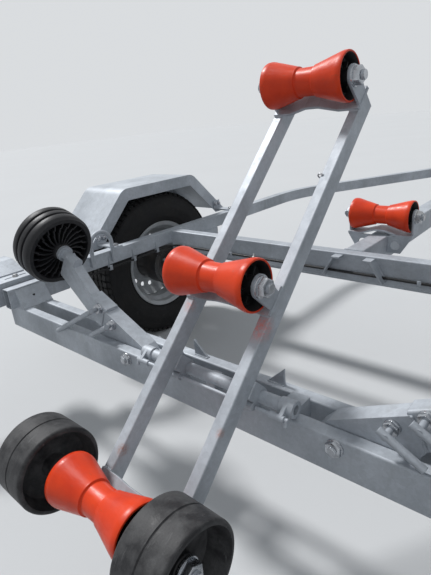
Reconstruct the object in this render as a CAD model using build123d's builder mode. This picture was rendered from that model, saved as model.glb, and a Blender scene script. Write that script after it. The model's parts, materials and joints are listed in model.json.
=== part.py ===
from build123d import *
import os
from math import acos, asin, atan2, cos, degrees, hypot, radians, sin, tan

# Roller boat trailer, in millimetres: X forward to the coupling, Y left, Z up from the ground.
# Stations are measured forward from the pivot of the tilting ladder and heights are over the ground.

os.makedirs("parts", exist_ok=True)

# Stance
pivot_height = 414.0
nose_station = 3960.0

# Running gaps and seats
pin_clearance = 0.06
seat_gap = 0.3
moving_gap = 5.0

# Rear cross beam of two parallel tubes
beam_half_length = 930.0
bar_height = 80.0
bar_width = 30.0
bar_wall = 3.0
bar_gap = 46.0
beam_rear_station = -4.0
beam_drop = 24.0

# Main rails, the rear rails under them and the cross member
rail_width = 40.0
rail_height = 50.0
rail_wall = 3.0
rail_offset = 796.0
rail_corner_station = 225.0
rail_bend_station = 1625.0
rail_bend_radius = 560.0
rail_bend_angle = 30.5
rail_tail_station = 95.0
rear_rail_width = 40.0
rear_rail_height = 67.0
rear_rail_offset = 885.0
rear_rail_start = -27.0
rear_rail_end = 195.0
cross_station = 640.0
cross_width = 40.0
cross_height = 80.0

# Centre spine and drawbar
spine_width = 60.0
spine_height = 80.0
spine_wall = 4.0
spine_end_station = 3420.0

# Keel rollers
roller_length = 200.0
roller_end_diameter = 104.0
roller_step_diameter = 68.0
roller_waist_diameter = 60.0
roller_waist_length = 44.0
roller_bore_diameter = 21.0
roller_cup_depth = 26.0
roller_cup_wall = 7.0
roller_lip = 2.0
roller_lip_length = 4.0
roller_land = 10.0
roller_hub_diameter = 36.0
axle_gap = 3.0

# Tilting ladder
ladder_tilt = 43.5
ladder_shift = -22.0
ladder_rail_spacing = 198.0
ladder_rail_width = 25.0
ladder_rail_height = 40.0
ladder_rail_wall = 2.5
ladder_rail_rise = 62.0
ladder_low_end = -262.0
ladder_high_end = 690.0
pivot_tube_diameter = 27.0
pivot_tube_wall = 4.0
pivot_tube_half_length = 211.0
collar_length = 32.0
collar_radius = 17.0
locking_hook_length = 13.0
locking_sleeve_radius = 6.5
lug_wall = 5.0
ear_thickness = 6.0
ear_tip_radius = 24.0
ear_foot_length = 40.0
cradle_length = 64.0
cradle_rise = 14.0
cradle_crown_half = 16.0
cradle_slope_half = 62.0
nut_radius = 17.0
nut_thickness = 14.0
washer_radius = 21.0
washer_thickness = 3.0
axle_tip = 6.0
distance_tube_radius = 15.0
locking_rod_radius = 4.0
locking_rod_back = 25.0
locking_rod_out = 14.0
locking_eye_radius = 8.0

# Rubber wheels beside the bottom roller
ladder_wheel_diameter = 168.0
ladder_wheel_width = 92.0
ladder_wheel_stand = 21.0
ladder_wheel_edge = 6.0
ladder_wheel_hub = 22.0
ladder_wheel_lip = 10.0
ladder_wheel_cup = 22.0
ladder_hub_inset = 26.0
ladder_web_start = 34.0
ladder_web_end = 46.0
wheel_groove = 2.0

# Side supports
arm_root_offset = 247.0
arm_root_rise = -49.0
arm_angle = 26.0
arm_heel = 10.0
arm_heel_drop = 14.0
arm_heel_length = 36.0
arm_wall = 4.0
arm_channel_top = 22.0
arm_foot_depth = 44.0
arm_foot_reach = 398.0
arm_bolt_offset = 290.0
arm_bolt_drop = 20.0
arm_bolt_radius = 8.0
arm_bolt_head = 14.0
arm_bolt_head_height = 9.0
post_size_across = 30.0
post_top = 24.0
post_depth = 64.0
post_overlap = 60.0
post_end_upper = (383.0, 76.0)
post_end_lower = (397.0, -3.0)
sleeve_start = 180.0
sleeve_length = 72.0
sleeve_wall = 5.0
sleeve_play = 0.5
boss_offset = 579.0
boss_rise = 183.0
axle_tube_length = 58.0
axle_tube_radius = 15.0
side_collar_radius = 23.0
side_collar_length = 12.0
side_hub_gap = 14.0
side_wheel_diameter = 216.0
side_wheel_width = 94.0
side_wheel_tilt = 20.0
side_wheel_bore = 20.0
side_rim_wall = 20.0
side_hub_radius = 24.0
side_web = 10.0
side_rib_count = 22
side_rib_thickness = 4.5
side_rib_bow = 9.0
side_rib_inset = 10.0
side_rim_slope = 8.0
side_rim_lip = 3.0
side_groove_near = 12.0
side_groove_slope = 4.0
sleeve_screw_place = (208.0, 14.0)
arm_screw_place = (146.0, 4.0)
screw_boss_radius = 11.0
screw_boss_length = 9.0
screw_radius = 6.0
lever_radius = 7.0
lever_tail = 15.0
long_lever = 200.0
short_lever = 72.0

# Road wheels
wheel_station = 712.0
wheel_centre_offset = 1002.0
tyre_radius = 322.0
tyre_width = 186.0
tyre_bead_inset = 9.0
tyre_bead_rise = 3.0
tyre_belly_radius = 252.5
tyre_shoulder_inset = 9.0
tyre_shoulder_depth = 26.0
tyre_tread_inset = 30.0
rim_radius = 178.0
rim_flange_radius = 195.0
rim_width = 152.0
rim_wall = 4.0
rim_flange_slope = 7.0
rim_seat_width = 30.0
rim_well_edge = 46.0
rim_well_depth = 18.0
rim_disc_flat = 84.0
rim_disc_rise = 24.0
rim_disc_land = 12.0
rim_disc_foot = 22.0
rim_hole_count = 16
rim_hole_diameter = 20.0
rim_hole_circle = 230.0
wheel_bolt_count = 5
wheel_bolt_circle = 112.0
wheel_bolt_diameter = 15.0
hub_bore = 57.0
drum_radius = 86.0
drum_step = 78.0
drum_depth = 62.0
hub_cap_length = 48.0
hub_cap_bevel = 7.0
back_plate_gap = 3.0
back_plate_thickness = 6.0
stub_axle_diameter = 36.0
stub_reach = 20.0
drum_stand = 26.0
rim_disc_outset = 30.0

# Torsion axle
axle_tube_size = 80.0
axle_tube_wall = 5.0
axle_forward = 140.0
axle_pad_thickness = 30.0
axle_pad_length = 140.0
axle_pad_overhang = 10.0
axle_arm_gap = 14.0
axle_arm_root = 38.0
axle_arm_tip = 32.0
axle_arm_thickness = 26.0

# Fenders
fender_inner = 886.0
fender_width = 247.0
fender_sheet = 3.0
fender_top = 278.0
fender_flat = 394.0
fender_span = 816.0
fender_foot = 20.0
fender_bend_radius = 60.0
fender_flange = 46.0
stay_thickness = 6.0
stay_width = 40.0
stay_station = 340.0
stay_tab = 42.0

# Lamp carriers
lamp_bar_start = -270.0
lamp_bar_end = 96.0
lamp_sheet = 4.0
lamp_strip_width = 62.0
lamp_strip_height = 57.0
lamp_groove = 10.0
lamp_groove_depth = 12.0
lamp_slope_width = 72.0
lamp_crest_width = 62.0
lamp_crest_height = 93.0
lamp_skirt = 40.0
lamp_height = 88.0
lamp_slot_count = 6
lamp_slot_pitch = 52.0
lamp_slot_margin = 25.0
lamp_slot_length = 26.0
lamp_slot_width = 9.0

# Front gear
front_roller_station = 900.0
middle_roller_station = 1900.0
spine_roller_rise = 63.0
flange_low_half = 74.0
flange_drop = 56.0
flange_hole_offset = 56.0
flange_hole_drop = 30.0
flange_hole_radius = 15.0
winch_station = 2860.0
post_size = 60.0
post_wall = 4.0
post_height = 430.0
post_shelf = 8.0
post_shelf_length = 170.0
post_shelf_width = 110.0
bow_stop_station = 2685.0
bow_stop_height = 110.0
bow_arm_width = 40.0
bow_arm_height = 20.0
drum_rise = 74.0
drum_axle_radius = 9.0
drum_barrel_radius = 26.0
drum_flange_radius = 46.0
drum_flange = 4.0
cheek_offset = 42.0
cheek_thickness = 5.0
cheek_radius = 30.0
gear_module = 2.0
gear_teeth = 48
pinion_teeth = 12
gear_width = 8.0
gear_play = 0.4
shaft_angle = 40.0
crank_shaft_radius = 8.0
crank_offset = 74.0
crank_length = 190.0
crank_shaft_end = 10.0
crank_arm_width = 24.0
crank_arm_thickness = 6.0
crank_grip_length = 100.0
crank_grip_radius = 13.0
jockey_station = 3110.0


def at(station, offset=0.0, height=0.0):
    """A point by station, offset to the left and height over the ladder's pivot."""
    return Vector(pivot_x + station, offset, pivot_height + height)


def inside(base, plane):
    """A plane given in the local frame of another plane."""
    return Plane(base.location * plane.location)


def keep(piece, node):
    piece.part.label = node
    export_step(piece.part, f"parts/{node}.step")


def keep_pair(piece, node):
    keep(piece, f"{node}_left")
    with BuildPart() as other_side:
        mirror(piece.part, about=Plane.XZ)
    keep(other_side, f"{node}_right")


def tube(start, end, width, height, wall=0.0, up=(0, 0, 1), corner=4.0):
    """A straight box section from start to end, its height along up."""
    run = Vector(*end) - Vector(*start)
    plane = Plane(origin=start, x_dir=Vector(*up).cross(run), z_dir=run)
    with BuildSketch(plane) as section:
        RectangleRounded(width, height, corner)
        if wall:
            RectangleRounded(width - 2 * wall, height - 2 * wall, max(corner - wall, 0.8), mode=Mode.SUBTRACT)
    extrude(section.sketch, amount=run.length)


def rod(start, end, radius, bore=0.0, mode=Mode.ADD):
    """A round bar or pipe from start to end."""
    run = Vector(*end) - Vector(*start)
    with BuildSketch(Plane(origin=start, z_dir=run)) as section:
        Circle(radius)
        if bore:
            Circle(bore, mode=Mode.SUBTRACT)
    extrude(section.sketch, amount=run.length, mode=mode)


def offset_points(points, distance):
    """The corners of a polyline moved sideways to its left, mitred at each corner."""
    moved = []
    for index, (x, y) in enumerate(points):
        before = points[max(index - 1, 0)]
        after = points[min(index + 1, len(points) - 1)]
        heading_in = atan2(y - before[1], x - before[0]) if index else None
        heading_out = atan2(after[1] - y, after[0] - x) if index < len(points) - 1 else heading_in
        heading_in = heading_out if heading_in is None else heading_in
        middle = (heading_in + heading_out) / 2
        reach = distance / cos((heading_out - heading_in) / 2)
        moved.append((x - reach * sin(middle), y + reach * cos(middle)))
    return moved


def strip(points, width):
    """Closed outline of a mitred strip of the given width along a polyline."""
    return offset_points(points, width / 2) + offset_points(points, -width / 2)[::-1]


# The origin is on the ground below the middle of the whole length
bottom_roller = (-280.0, 159.0)
tilt = radians(ladder_tilt)
rear_reach = -(bottom_roller[0] * cos(tilt) - bottom_roller[1] * sin(tilt)) + ladder_wheel_diameter / 2
pivot_x = (rear_reach - nose_station) / 2

beam_top = -beam_drop
rear_rail_top = beam_top + rear_rail_height
rail_top = rear_rail_top + rail_height
bar_stations = [beam_rear_station + bar_width / 2, beam_rear_station + bar_width * 1.5 + bar_gap]
beam_front_station = beam_rear_station + 2 * bar_width + bar_gap
rail_inner = rail_offset - rail_width / 2

# Rear beam: two parallel tubes with a gap for the side supports
with BuildPart() as rear_beam:
    for station in bar_stations:
        tube(
            at(station, -beam_half_length, beam_top - bar_height / 2),
            at(station, beam_half_length, beam_top - bar_height / 2),
            bar_width, bar_height, bar_wall,
        )
    for side in (1, -1):
        rod(
            at(beam_rear_station - 1, side * arm_bolt_offset, beam_top - arm_bolt_drop),
            at(beam_front_station + 1, side * arm_bolt_offset, beam_top - arm_bolt_drop),
            arm_bolt_radius + seat_gap, mode=Mode.SUBTRACT,
        )
keep(rear_beam, "rear_beam")

# Main rail: a mitred tail outwards over the rear rail, a long straight and the bend to the spine
rail_turn = radians(rail_bend_angle)
rail_plan = [
    (pivot_x + rail_bend_station - 1200, rail_offset),
    (pivot_x + rail_bend_station, rail_offset),
    (pivot_x + rail_bend_station + rail_offset / tan(rail_turn), 0),
]
tail_plan = [
    (pivot_x + rail_tail_station, rear_rail_offset),
    (pivot_x + rail_tail_station + 35, rear_rail_offset),
    (pivot_x + rail_corner_station, rail_offset),
    (pivot_x + rail_bend_station - 1150, rail_offset),
]
with BuildPart() as side_rail:
    for inset, mode in ((0.0, Mode.ADD), (rail_wall, Mode.SUBTRACT)):
        floor = Plane.XY.offset(pivot_height + rear_rail_top + inset)
        with BuildSketch(floor) as rail_section:
            with BuildLine():
                FilletPolyline(*rail_plan, radius=rail_bend_radius)
            trace(line_width=rail_width - 2 * inset)
            with BuildLine():
                Polyline(*strip(tail_plan, rail_width - 2 * inset), close=True)
            make_face()
        extrude(rail_section.sketch, amount=rail_height - 2 * inset, mode=mode)
    with BuildSketch(Plane.XY.offset(pivot_height)) as spine_side:
        with Locations((pivot_x + nose_station / 2, 0)):
            Rectangle(2 * nose_station, spine_width)
    extrude(spine_side.sketch, amount=rail_top + 1, both=True, mode=Mode.SUBTRACT)
    with BuildSketch(Plane.XY.offset(pivot_height)) as past_spine:
        with Locations((pivot_x + nose_station / 2, -rail_offset)):
            Rectangle(2 * nose_station, 2 * rail_offset)
    extrude(past_spine.sketch, amount=rail_top + 1, both=True, mode=Mode.SUBTRACT)
keep_pair(side_rail, "side_rail")

# Rear rail on the beam's ends, with two guide pads for the lamp carrier
rear_rail_outer = rear_rail_offset + rear_rail_width / 2
guide_pad = moving_gap - seat_gap
guide_pad_length = 24.0
guide_pad_height = 40.0
guide_pad_inset = 20.0
with BuildPart() as rear_rail:
    tube(
        at(rear_rail_start, rear_rail_offset, beam_top + rear_rail_height / 2),
        at(rear_rail_end, rear_rail_offset, beam_top + rear_rail_height / 2),
        rear_rail_width, rear_rail_height, rail_wall,
    )
    for station in (rear_rail_start + guide_pad_inset, rail_tail_station - guide_pad_inset):
        with Locations(at(station, rear_rail_outer + guide_pad / 2, beam_top + rear_rail_height / 2)):
            Box(guide_pad_length, guide_pad, guide_pad_height)
keep_pair(rear_rail, "rear_rail")

# Sloping gusset from the rear rail down to the beam, and an end plate under the rail
gusset_sheet = 5.0
rear_rail_inner = rear_rail_offset - rear_rail_width / 2
gusset_foot = rear_rail_inner - 36
with BuildPart() as beam_bracket:
    with BuildSketch(Plane.YZ.offset(pivot_x + beam_rear_station)) as gusset:
        with BuildLine():
            Polyline(
                (gusset_foot, pivot_height + beam_top),
                (rear_rail_inner, pivot_height + rear_rail_top - 2),
                (rear_rail_inner, pivot_height + rear_rail_top - 2 * gusset_sheet),
                (gusset_foot + gusset_sheet, pivot_height + beam_top),
                close=True,
            )
        make_face()
    extrude(gusset.sketch, amount=beam_front_station - beam_rear_station)
keep_pair(beam_bracket, "beam_bracket")

# Cross member between the rails, with two leaning guide plates for the ladder on its rear face
guide_plate = 5.0
guide_reach = 30.0
guide_upper_half = 58.0
guide_lower_half = 97.0
guide_inset = 8.0
guide_tab = 26.0
cable_radius = 4.0
cable_rise = 22.0
cross_low = rail_top - cross_height
cross_mid = cross_station + cross_width / 2
cable_cross_height = cross_low + cable_rise
with BuildPart() as cross_member:
    tube(
        at(cross_mid, -rail_inner, rail_top - cross_height / 2),
        at(cross_mid, rail_inner, rail_top - cross_height / 2),
        cross_width, cross_height, rail_wall,
    )
    for side in (1, -1):
        with BuildSketch(Plane.YZ.offset(pivot_x + cross_station - guide_reach)) as guide:
            with BuildLine():
                Polyline(
                    *strip(
                        [
                            (ladder_shift + side * guide_upper_half, pivot_height + rail_top - guide_inset),
                            (ladder_shift + side * guide_lower_half, pivot_height + cross_low + guide_inset),
                        ],
                        guide_plate,
                    ),
                    close=True,
                )
            make_face()
        extrude(guide.sketch, amount=guide_reach)
        tab_middle = ladder_shift + side * (guide_upper_half - guide_tab / 2 + guide_plate)
        with Locations(at(cross_station - guide_reach / 2, tab_middle, rail_top - guide_inset)):
            Box(guide_reach, guide_tab, guide_plate)
    with Locations(at(cross_station - cable_radius - 1, 0, cable_cross_height)):
        Box(2 * cable_radius + 2, 2 * rail_inner, 2 * cable_radius + 2, mode=Mode.SUBTRACT)
keep(cross_member, "cross_member")

# Centre spine from the cross member to the overrun unit
with BuildPart() as centre_spine:
    tube(
        at(cross_station + cross_width, 0, rail_top - spine_height / 2),
        at(spine_end_station, 0, rail_top - spine_height / 2),
        spine_width, spine_height, spine_wall,
    )
keep(centre_spine, "centre_spine")

# Tilting ladder's local frame: X up along the rails, Y left and Z out through the rollers
ladder = Plane(
    origin=at(0, ladder_shift),
    x_dir=(cos(tilt), 0, sin(tilt)),
    z_dir=(-sin(tilt), 0, cos(tilt)),
)
locking_line = ladder.from_local_coords((-locking_rod_back, 0, locking_rod_out))
rail_side = ladder_rail_spacing / 2
locking_gap_left = ladder_shift + rail_side + ladder_rail_width / 2 + moving_gap
locking_gap_right = ladder_shift - rail_side - ladder_rail_width / 2 - moving_gap

# Pivot tube on three saddles, with end collars that carry the chassis's parts of the locking rod
pivot_radius = pivot_tube_diameter / 2
saddle_inset = 24.0
saddle_length = 24.0
holder_thickness = 8.0
holder_offset = pivot_tube_half_length - collar_length / 2
with BuildPart() as pivot_tube:
    with BuildSketch(Plane.XZ.offset(pivot_tube_half_length)) as saddle:
        with Locations((pivot_x + beam_rear_station + bar_width / 2, pivot_height - beam_drop / 2)):
            Rectangle(bar_width, beam_drop)
    for offset in (saddle_inset, pivot_tube_half_length, 2 * pivot_tube_half_length - saddle_inset):
        extrude(saddle.sketch.moved(Location((0, offset, 0))), amount=saddle_length / 2, both=True)
    rod(at(0, -pivot_tube_half_length), at(0, pivot_tube_half_length), pivot_radius)
    for side, gap_end in ((1, locking_gap_left), (-1, locking_gap_right)):
        collar_end = side * pivot_tube_half_length
        rod(at(0, collar_end - side * collar_length), at(0, collar_end), collar_radius)
        with BuildSketch(Plane.XZ.offset(-side * holder_offset)) as holder:
            with Locations((pivot_x, pivot_height)):
                Circle(collar_radius)
            with Locations((locking_line.X, locking_line.Z)):
                Circle(locking_sleeve_radius)
            make_hull()
        extrude(holder.sketch, amount=holder_thickness / 2, both=True)
        outer_end = Vector(locking_line.X, collar_end, locking_line.Z)
        rod(Vector(locking_line.X, gap_end, locking_line.Z), outer_end, locking_rod_radius)
        hook_start = outer_end - Vector(0, side * locking_rod_radius, 0)
        hook_end = hook_start - Vector(locking_rod_radius, 0, locking_hook_length)
        rod(hook_start, hook_end, locking_rod_radius)
        sleeve_end = outer_end - Vector(0, side * 2 * locking_rod_radius, 0)
        rod(sleeve_end - Vector(0, side * collar_length, 0), sleeve_end, locking_sleeve_radius)
    rod(
        at(0, -pivot_tube_half_length - 1), at(0, pivot_tube_half_length + 1),
        pivot_radius - pivot_tube_wall, mode=Mode.SUBTRACT,
    )
keep(pivot_tube, "pivot_tube")

# Spacer blocks between the two bars, and centring fins on the front bar
beam_middle_station = beam_rear_station + bar_width + bar_gap / 2
spacer_offset = 178.0
spacer_length = 40.0
spacer_height = 44.0
spacer_rise = 6.0
fin_inner = 87.0
fin_outer = 129.0
fin_height = 40.0
fin_thickness = 6.0
with BuildPart() as beam_spacers:
    for side in (1, -1):
        with Locations(at(beam_middle_station, side * spacer_offset, beam_top + spacer_rise - spacer_height / 2)):
            Box(bar_gap, spacer_length, spacer_height)
keep(beam_spacers, "beam_spacers")
with BuildPart() as centring_fins:
    for side in (1, -1):
        with BuildSketch(Plane.YZ.offset(pivot_x + bar_stations[1])) as fin:
            with BuildLine():
                Polyline(
                    (side * fin_inner, pivot_height + beam_top),
                    (side * fin_outer, pivot_height + beam_top),
                    (side * fin_outer, pivot_height + beam_top + fin_height),
                    close=True,
                )
            make_face()
        extrude(fin.sketch, amount=fin_thickness / 2, both=True)
keep(centring_fins, "centring_fins")

# Tilting ladder: two rails with pivot lugs, and a folded cradle, ears and axle at each roller
rollers = {"roller_top": (674.0, 146.0), "roller_middle": (168.0, 146.0), "roller_bottom": bottom_roller}
rail_under = ladder_rail_rise - ladder_rail_height / 2
rail_over = ladder_rail_rise + ladder_rail_height / 2
ear_inner = roller_length / 2 + axle_gap
ear_outer = ear_inner + ear_thickness
axle_radius = roller_bore_diameter / 2 - pin_clearance
ladder_wheel_inner = ear_outer + ladder_wheel_stand
wheel_axle_reach = ladder_wheel_inner + ladder_wheel_width - ladder_hub_inset + axle_gap


def cradle(plane, along, foot):
    """Folded plate under a roller, its middle raised towards the roller's waist."""
    half = ear_outer
    low = foot + ear_thickness / 2
    ridge = [
        (-half, low),
        (-cradle_slope_half, low),
        (-cradle_crown_half, low + cradle_rise),
        (cradle_crown_half, low + cradle_rise),
        (cradle_slope_half, low),
        (half, low),
    ]
    with BuildSketch(inside(plane, Plane.YZ.offset(along - cradle_length / 2))) as folded:
        with BuildLine():
            Polyline(*strip(ridge, ear_thickness), close=True)
        make_face()
    extrude(folded.sketch, amount=cradle_length)


def ear_pair(plane, along, rise, foot):
    """Upright ears with round tops at both ends of a roller, standing on the height called foot."""
    for side in (1, -1):
        with BuildSketch(inside(plane, Plane.XZ.offset(-side * (ear_inner + ear_thickness / 2)))) as ear:
            with Locations((along, rise)):
                Circle(ear_tip_radius)
            with Locations((along, foot + 4)):
                Rectangle(ear_foot_length, 8)
            make_hull()
        extrude(ear.sketch, amount=ear_thickness / 2, both=True)


def roller_axle(plane, along, rise, nut_start):
    """Axle bolt through the ears with a washer and a nut at each end."""
    reach = nut_start + washer_thickness + nut_thickness + axle_tip
    with BuildSketch(inside(plane, Plane.XZ.offset(-reach))) as shank:
        with Locations((along, rise)):
            Circle(axle_radius)
    extrude(shank.sketch, amount=2 * reach)
    for side in (1, -1):
        with BuildSketch(inside(plane, Plane.XZ.offset(-side * (nut_start + washer_thickness / 2)))) as washer:
            with Locations((along, rise)):
                Circle(washer_radius)
        extrude(washer.sketch, amount=washer_thickness / 2, both=True)
        nut_middle = nut_start + washer_thickness + nut_thickness / 2
        with BuildSketch(inside(plane, Plane.XZ.offset(-side * nut_middle))) as nut:
            with Locations((along, rise)):
                RegularPolygon(nut_radius, 6)
        extrude(nut.sketch, amount=nut_thickness / 2, both=True)


with BuildPart(ladder) as ladder_frame:
    for side in (1, -1):
        with BuildSketch(inside(ladder, Plane.YZ.offset(ladder_low_end))) as ladder_rail:
            with Locations((side * rail_side, ladder_rail_rise)):
                RectangleRounded(ladder_rail_width, ladder_rail_height, 3)
                RectangleRounded(
                    ladder_rail_width - 2 * ladder_rail_wall, ladder_rail_height - 2 * ladder_rail_wall, 1,
                    mode=Mode.SUBTRACT,
                )
        extrude(ladder_rail.sketch, amount=ladder_high_end - ladder_low_end)
        with BuildSketch(inside(ladder, Plane.XZ.offset(-side * rail_side))) as lug:
            Circle(pivot_radius + lug_wall)
            with Locations((0, rail_under / 2)):
                Rectangle(2 * (pivot_radius + lug_wall), rail_under)
            with Locations((-locking_rod_back, locking_rod_out)):
                Circle(locking_eye_radius)
            Circle(pivot_radius + pin_clearance, mode=Mode.SUBTRACT)
        extrude(lug.sketch, amount=ladder_rail_width / 2, both=True)
    with BuildSketch(inside(ladder, Plane.XZ.offset(rail_side + ladder_rail_width / 2 + 1))) as locking_rod:
        with Locations((-locking_rod_back, locking_rod_out)):
            Circle(locking_rod_radius)
    extrude(locking_rod.sketch, amount=-(2 * rail_side + ladder_rail_width + 2))
    for along, rise in rollers.values():
        cradle(ladder, along, rail_over)
        ear_pair(ladder, along, rise, rail_over)
        low_axle = rise == bottom_roller[1]
        roller_axle(ladder, along, rise, wheel_axle_reach if low_axle else ear_outer)
        if low_axle:
            with BuildSketch(inside(ladder, Plane.XZ.offset(-ladder_wheel_inner + axle_gap))) as distance_tube:
                with Locations((along, rise)):
                    Circle(distance_tube_radius)
            extrude(distance_tube.sketch, amount=2 * (ladder_wheel_inner - axle_gap))
            with BuildSketch(inside(ladder, Plane.XZ.offset(-ear_inner))) as roller_room:
                with Locations((along, rise)):
                    Circle(distance_tube_radius + 1)
                    Circle(axle_radius, mode=Mode.SUBTRACT)
            extrude(roller_room.sketch, amount=2 * ear_inner, mode=Mode.SUBTRACT)
keep(ladder_frame, "ladder_frame")


def roller_profile():
    """Half section of a keel roller in axial distance and radius, mirrored about its waist."""
    end = roller_length / 2
    floor = end - roller_cup_depth
    cup = roller_end_diameter / 2 - roller_cup_wall
    return [
        (0, roller_bore_diameter / 2),
        (end, roller_bore_diameter / 2),
        (end, roller_hub_diameter / 2),
        (floor, roller_hub_diameter / 2),
        (floor, cup - roller_lip_length),
        (end, cup),
        (end, roller_end_diameter / 2 - roller_lip),
        (end - roller_lip_length, roller_end_diameter / 2),
        (end - roller_land, roller_end_diameter / 2),
        (roller_waist_length / 2, roller_step_diameter / 2),
        (roller_waist_length / 2, roller_waist_diameter / 2),
        (0, roller_waist_diameter / 2),
    ]


def keel_roller(centre, node):
    with BuildPart() as roller:
        section = Plane(origin=centre, x_dir=(0, 1, 0), z_dir=(1, 0, 0))
        with BuildSketch(section) as half:
            with BuildLine():
                Polyline(*roller_profile(), close=True)
            make_face()
        for side in (1, -1):
            face = half.sketch if side == 1 else half.sketch.mirror(Plane.XZ.offset(-centre.Y))
            revolve(face, axis=Axis(centre, (0, 1, 0)))
    keep(roller, node)


for node, (along, rise) in rollers.items():
    keel_roller(ladder.from_local_coords((along, 0, rise)), node)

# Rubber wheels on the bottom roller's axle: a hollow cup on both sides, a groove round the middle
for side, side_name in ((1, "left"), (-1, "right")):
    with BuildPart() as ladder_wheel:
        hub = ladder.from_local_coords((bottom_roller[0], side * ladder_wheel_inner, bottom_roller[1]))
        section = Plane(origin=hub, x_dir=(0, side, 0), z_dir=(side, 0, 0))
        radius = ladder_wheel_diameter / 2
        width = ladder_wheel_width
        with BuildSketch(section) as wheel_half:
            with BuildLine():
                Polyline(
                    (0, roller_bore_diameter / 2),
                    (0, ladder_wheel_hub),
                    (ladder_web_start, ladder_wheel_hub),
                    (ladder_web_start, radius - ladder_wheel_cup),
                    (0, radius - ladder_wheel_lip),
                    (0, radius - ladder_wheel_edge),
                    (ladder_wheel_edge, radius),
                    (width / 2 - wheel_groove, radius),
                    (width / 2, radius - wheel_groove),
                    (width / 2 + wheel_groove, radius),
                    (width - ladder_wheel_edge, radius),
                    (width, radius - ladder_wheel_edge),
                    (width, radius - ladder_wheel_lip),
                    (ladder_web_end, radius - ladder_wheel_cup),
                    (ladder_web_end, ladder_wheel_hub),
                    (width - ladder_hub_inset, ladder_wheel_hub),
                    (width - ladder_hub_inset, roller_bore_diameter / 2),
                    close=True,
                )
            make_face()
        revolve(wheel_half.sketch, axis=Axis(hub, (0, 1, 0)))
    keep(ladder_wheel, f"ladder_wheel_{side_name}")

# Side support's local frame: X up along the lower arm, Y square to it and Z forward
arm_turn = radians(arm_angle)
arm_station = beam_middle_station
arm_axis = Vector(0, cos(arm_turn), sin(arm_turn))
arm = Plane(origin=at(arm_station, arm_root_offset, arm_root_rise), x_dir=arm_axis, z_dir=(1, 0, 0))
channel_width = bar_gap - 2
post_low = post_top - post_depth
sleeve_top = post_top + sleeve_play + sleeve_wall
sleeve_low = post_low - sleeve_play - sleeve_wall
sleeve_width = post_size_across + 2 * (sleeve_play + sleeve_wall)
sleeve_end = sleeve_start + sleeve_length


def slab(plane, outline, thickness, back=None):
    """A flat plate of the given outline, centred on the plane or set back from it."""
    near = -thickness / 2 if back is None else back
    with BuildSketch(inside(plane, Plane.XY.offset(near))) as face:
        with BuildLine():
            Polyline(*outline, close=True)
        make_face()
    extrude(face.sketch, amount=thickness)


def channel(outline, top_edge, width, wall):
    """A folded channel: two side plates of the outline joined along its top edge."""
    for back in (-width / 2, width / 2 - wall):
        slab(arm, outline, wall, back)
    slab(arm, strip(offset_points(top_edge, -wall / 2), wall), width)


# Lower arm between the bars, with the clamping sleeve at its end and its bolt through the beam
foot_low = arm.to_local_coords(at(arm_station, arm_root_offset - arm_heel, beam_top - arm_foot_depth))
foot_far = arm.to_local_coords(at(arm_station, arm_foot_reach, beam_top - arm_foot_depth))
lower_top = [
    (-arm_heel, arm_channel_top - arm_heel_drop),
    (arm_heel_length - arm_heel, arm_channel_top),
    (sleeve_start + sleeve_wall, arm_channel_top),
]
with BuildPart() as side_arm:
    channel(
        lower_top + [
            (sleeve_start + sleeve_wall, sleeve_low + sleeve_wall / 2),
            (foot_far.X, foot_far.Y),
            (foot_low.X, foot_low.Y),
        ],
        lower_top, channel_width, arm_wall,
    )
    for depth, width, mode in (
        (sleeve_top - sleeve_low, sleeve_width, Mode.ADD),
        (sleeve_top - sleeve_low - 2 * sleeve_wall, sleeve_width - 2 * sleeve_wall, Mode.SUBTRACT),
    ):
        with BuildSketch(inside(arm, Plane.YZ.offset(sleeve_start))) as sleeve:
            with Locations(((sleeve_top + sleeve_low) / 2, 0)):
                RectangleRounded(depth, width, 1 if mode == Mode.SUBTRACT else sleeve_wall)
        extrude(sleeve.sketch, amount=sleeve_length, mode=mode)
    rod(
        at(beam_rear_station - arm_heel_drop, arm_bolt_offset, beam_top - arm_bolt_drop),
        at(beam_front_station + arm_heel_drop, arm_bolt_offset, beam_top - arm_bolt_drop), arm_bolt_radius,
    )
    for face, way in ((beam_rear_station, -1), (beam_front_station, 1)):
        with BuildSketch(Plane.YZ.offset(pivot_x + face)) as bolt_head:
            with Locations((arm_bolt_offset, pivot_height + beam_top - arm_bolt_drop)):
                RegularPolygon(arm_bolt_head, 6)
        extrude(bolt_head.sketch, amount=way * arm_bolt_head_height)
keep_pair(side_arm, "side_arm")

# Upper arm in the sleeve: a channel bent upwards past it, with an end plate, axle tube, collar and axle
wheel_axis = Vector(0, cos(radians(side_wheel_tilt)), sin(radians(side_wheel_tilt)))
boss_centre = at(arm_station, boss_offset, boss_rise)
side_axle_radius = side_wheel_bore / 2 - pin_clearance
side_hub_face = boss_centre + wheel_axis * side_hub_gap
post_start = sleeve_end - post_overlap
post_ridge = [(post_start, post_top), (sleeve_end, post_top), post_end_upper]
with BuildPart() as side_post:
    channel(
        post_ridge + [post_end_lower, (sleeve_end, post_low), (post_start, post_low)],
        post_ridge, post_size_across, arm_wall,
    )
    slab(arm, strip(offset_points([post_end_upper, post_end_lower], -arm_wall / 2), arm_wall), post_size_across)
    rod(boss_centre - wheel_axis * axle_tube_length, side_hub_face, axle_tube_radius)
    rod(side_hub_face - wheel_axis * side_collar_length, side_hub_face, side_collar_radius)
    nut_face = side_hub_face + wheel_axis * (side_wheel_width + 2 * axle_gap)
    nut_seat = nut_face + wheel_axis * washer_thickness
    rod(boss_centre, nut_seat + wheel_axis * (nut_thickness + axle_tip), side_axle_radius)
    rod(nut_face, nut_seat, washer_radius)
    rod(nut_seat, nut_seat + wheel_axis * nut_thickness, nut_radius)
keep_pair(side_post, "side_post")

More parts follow.
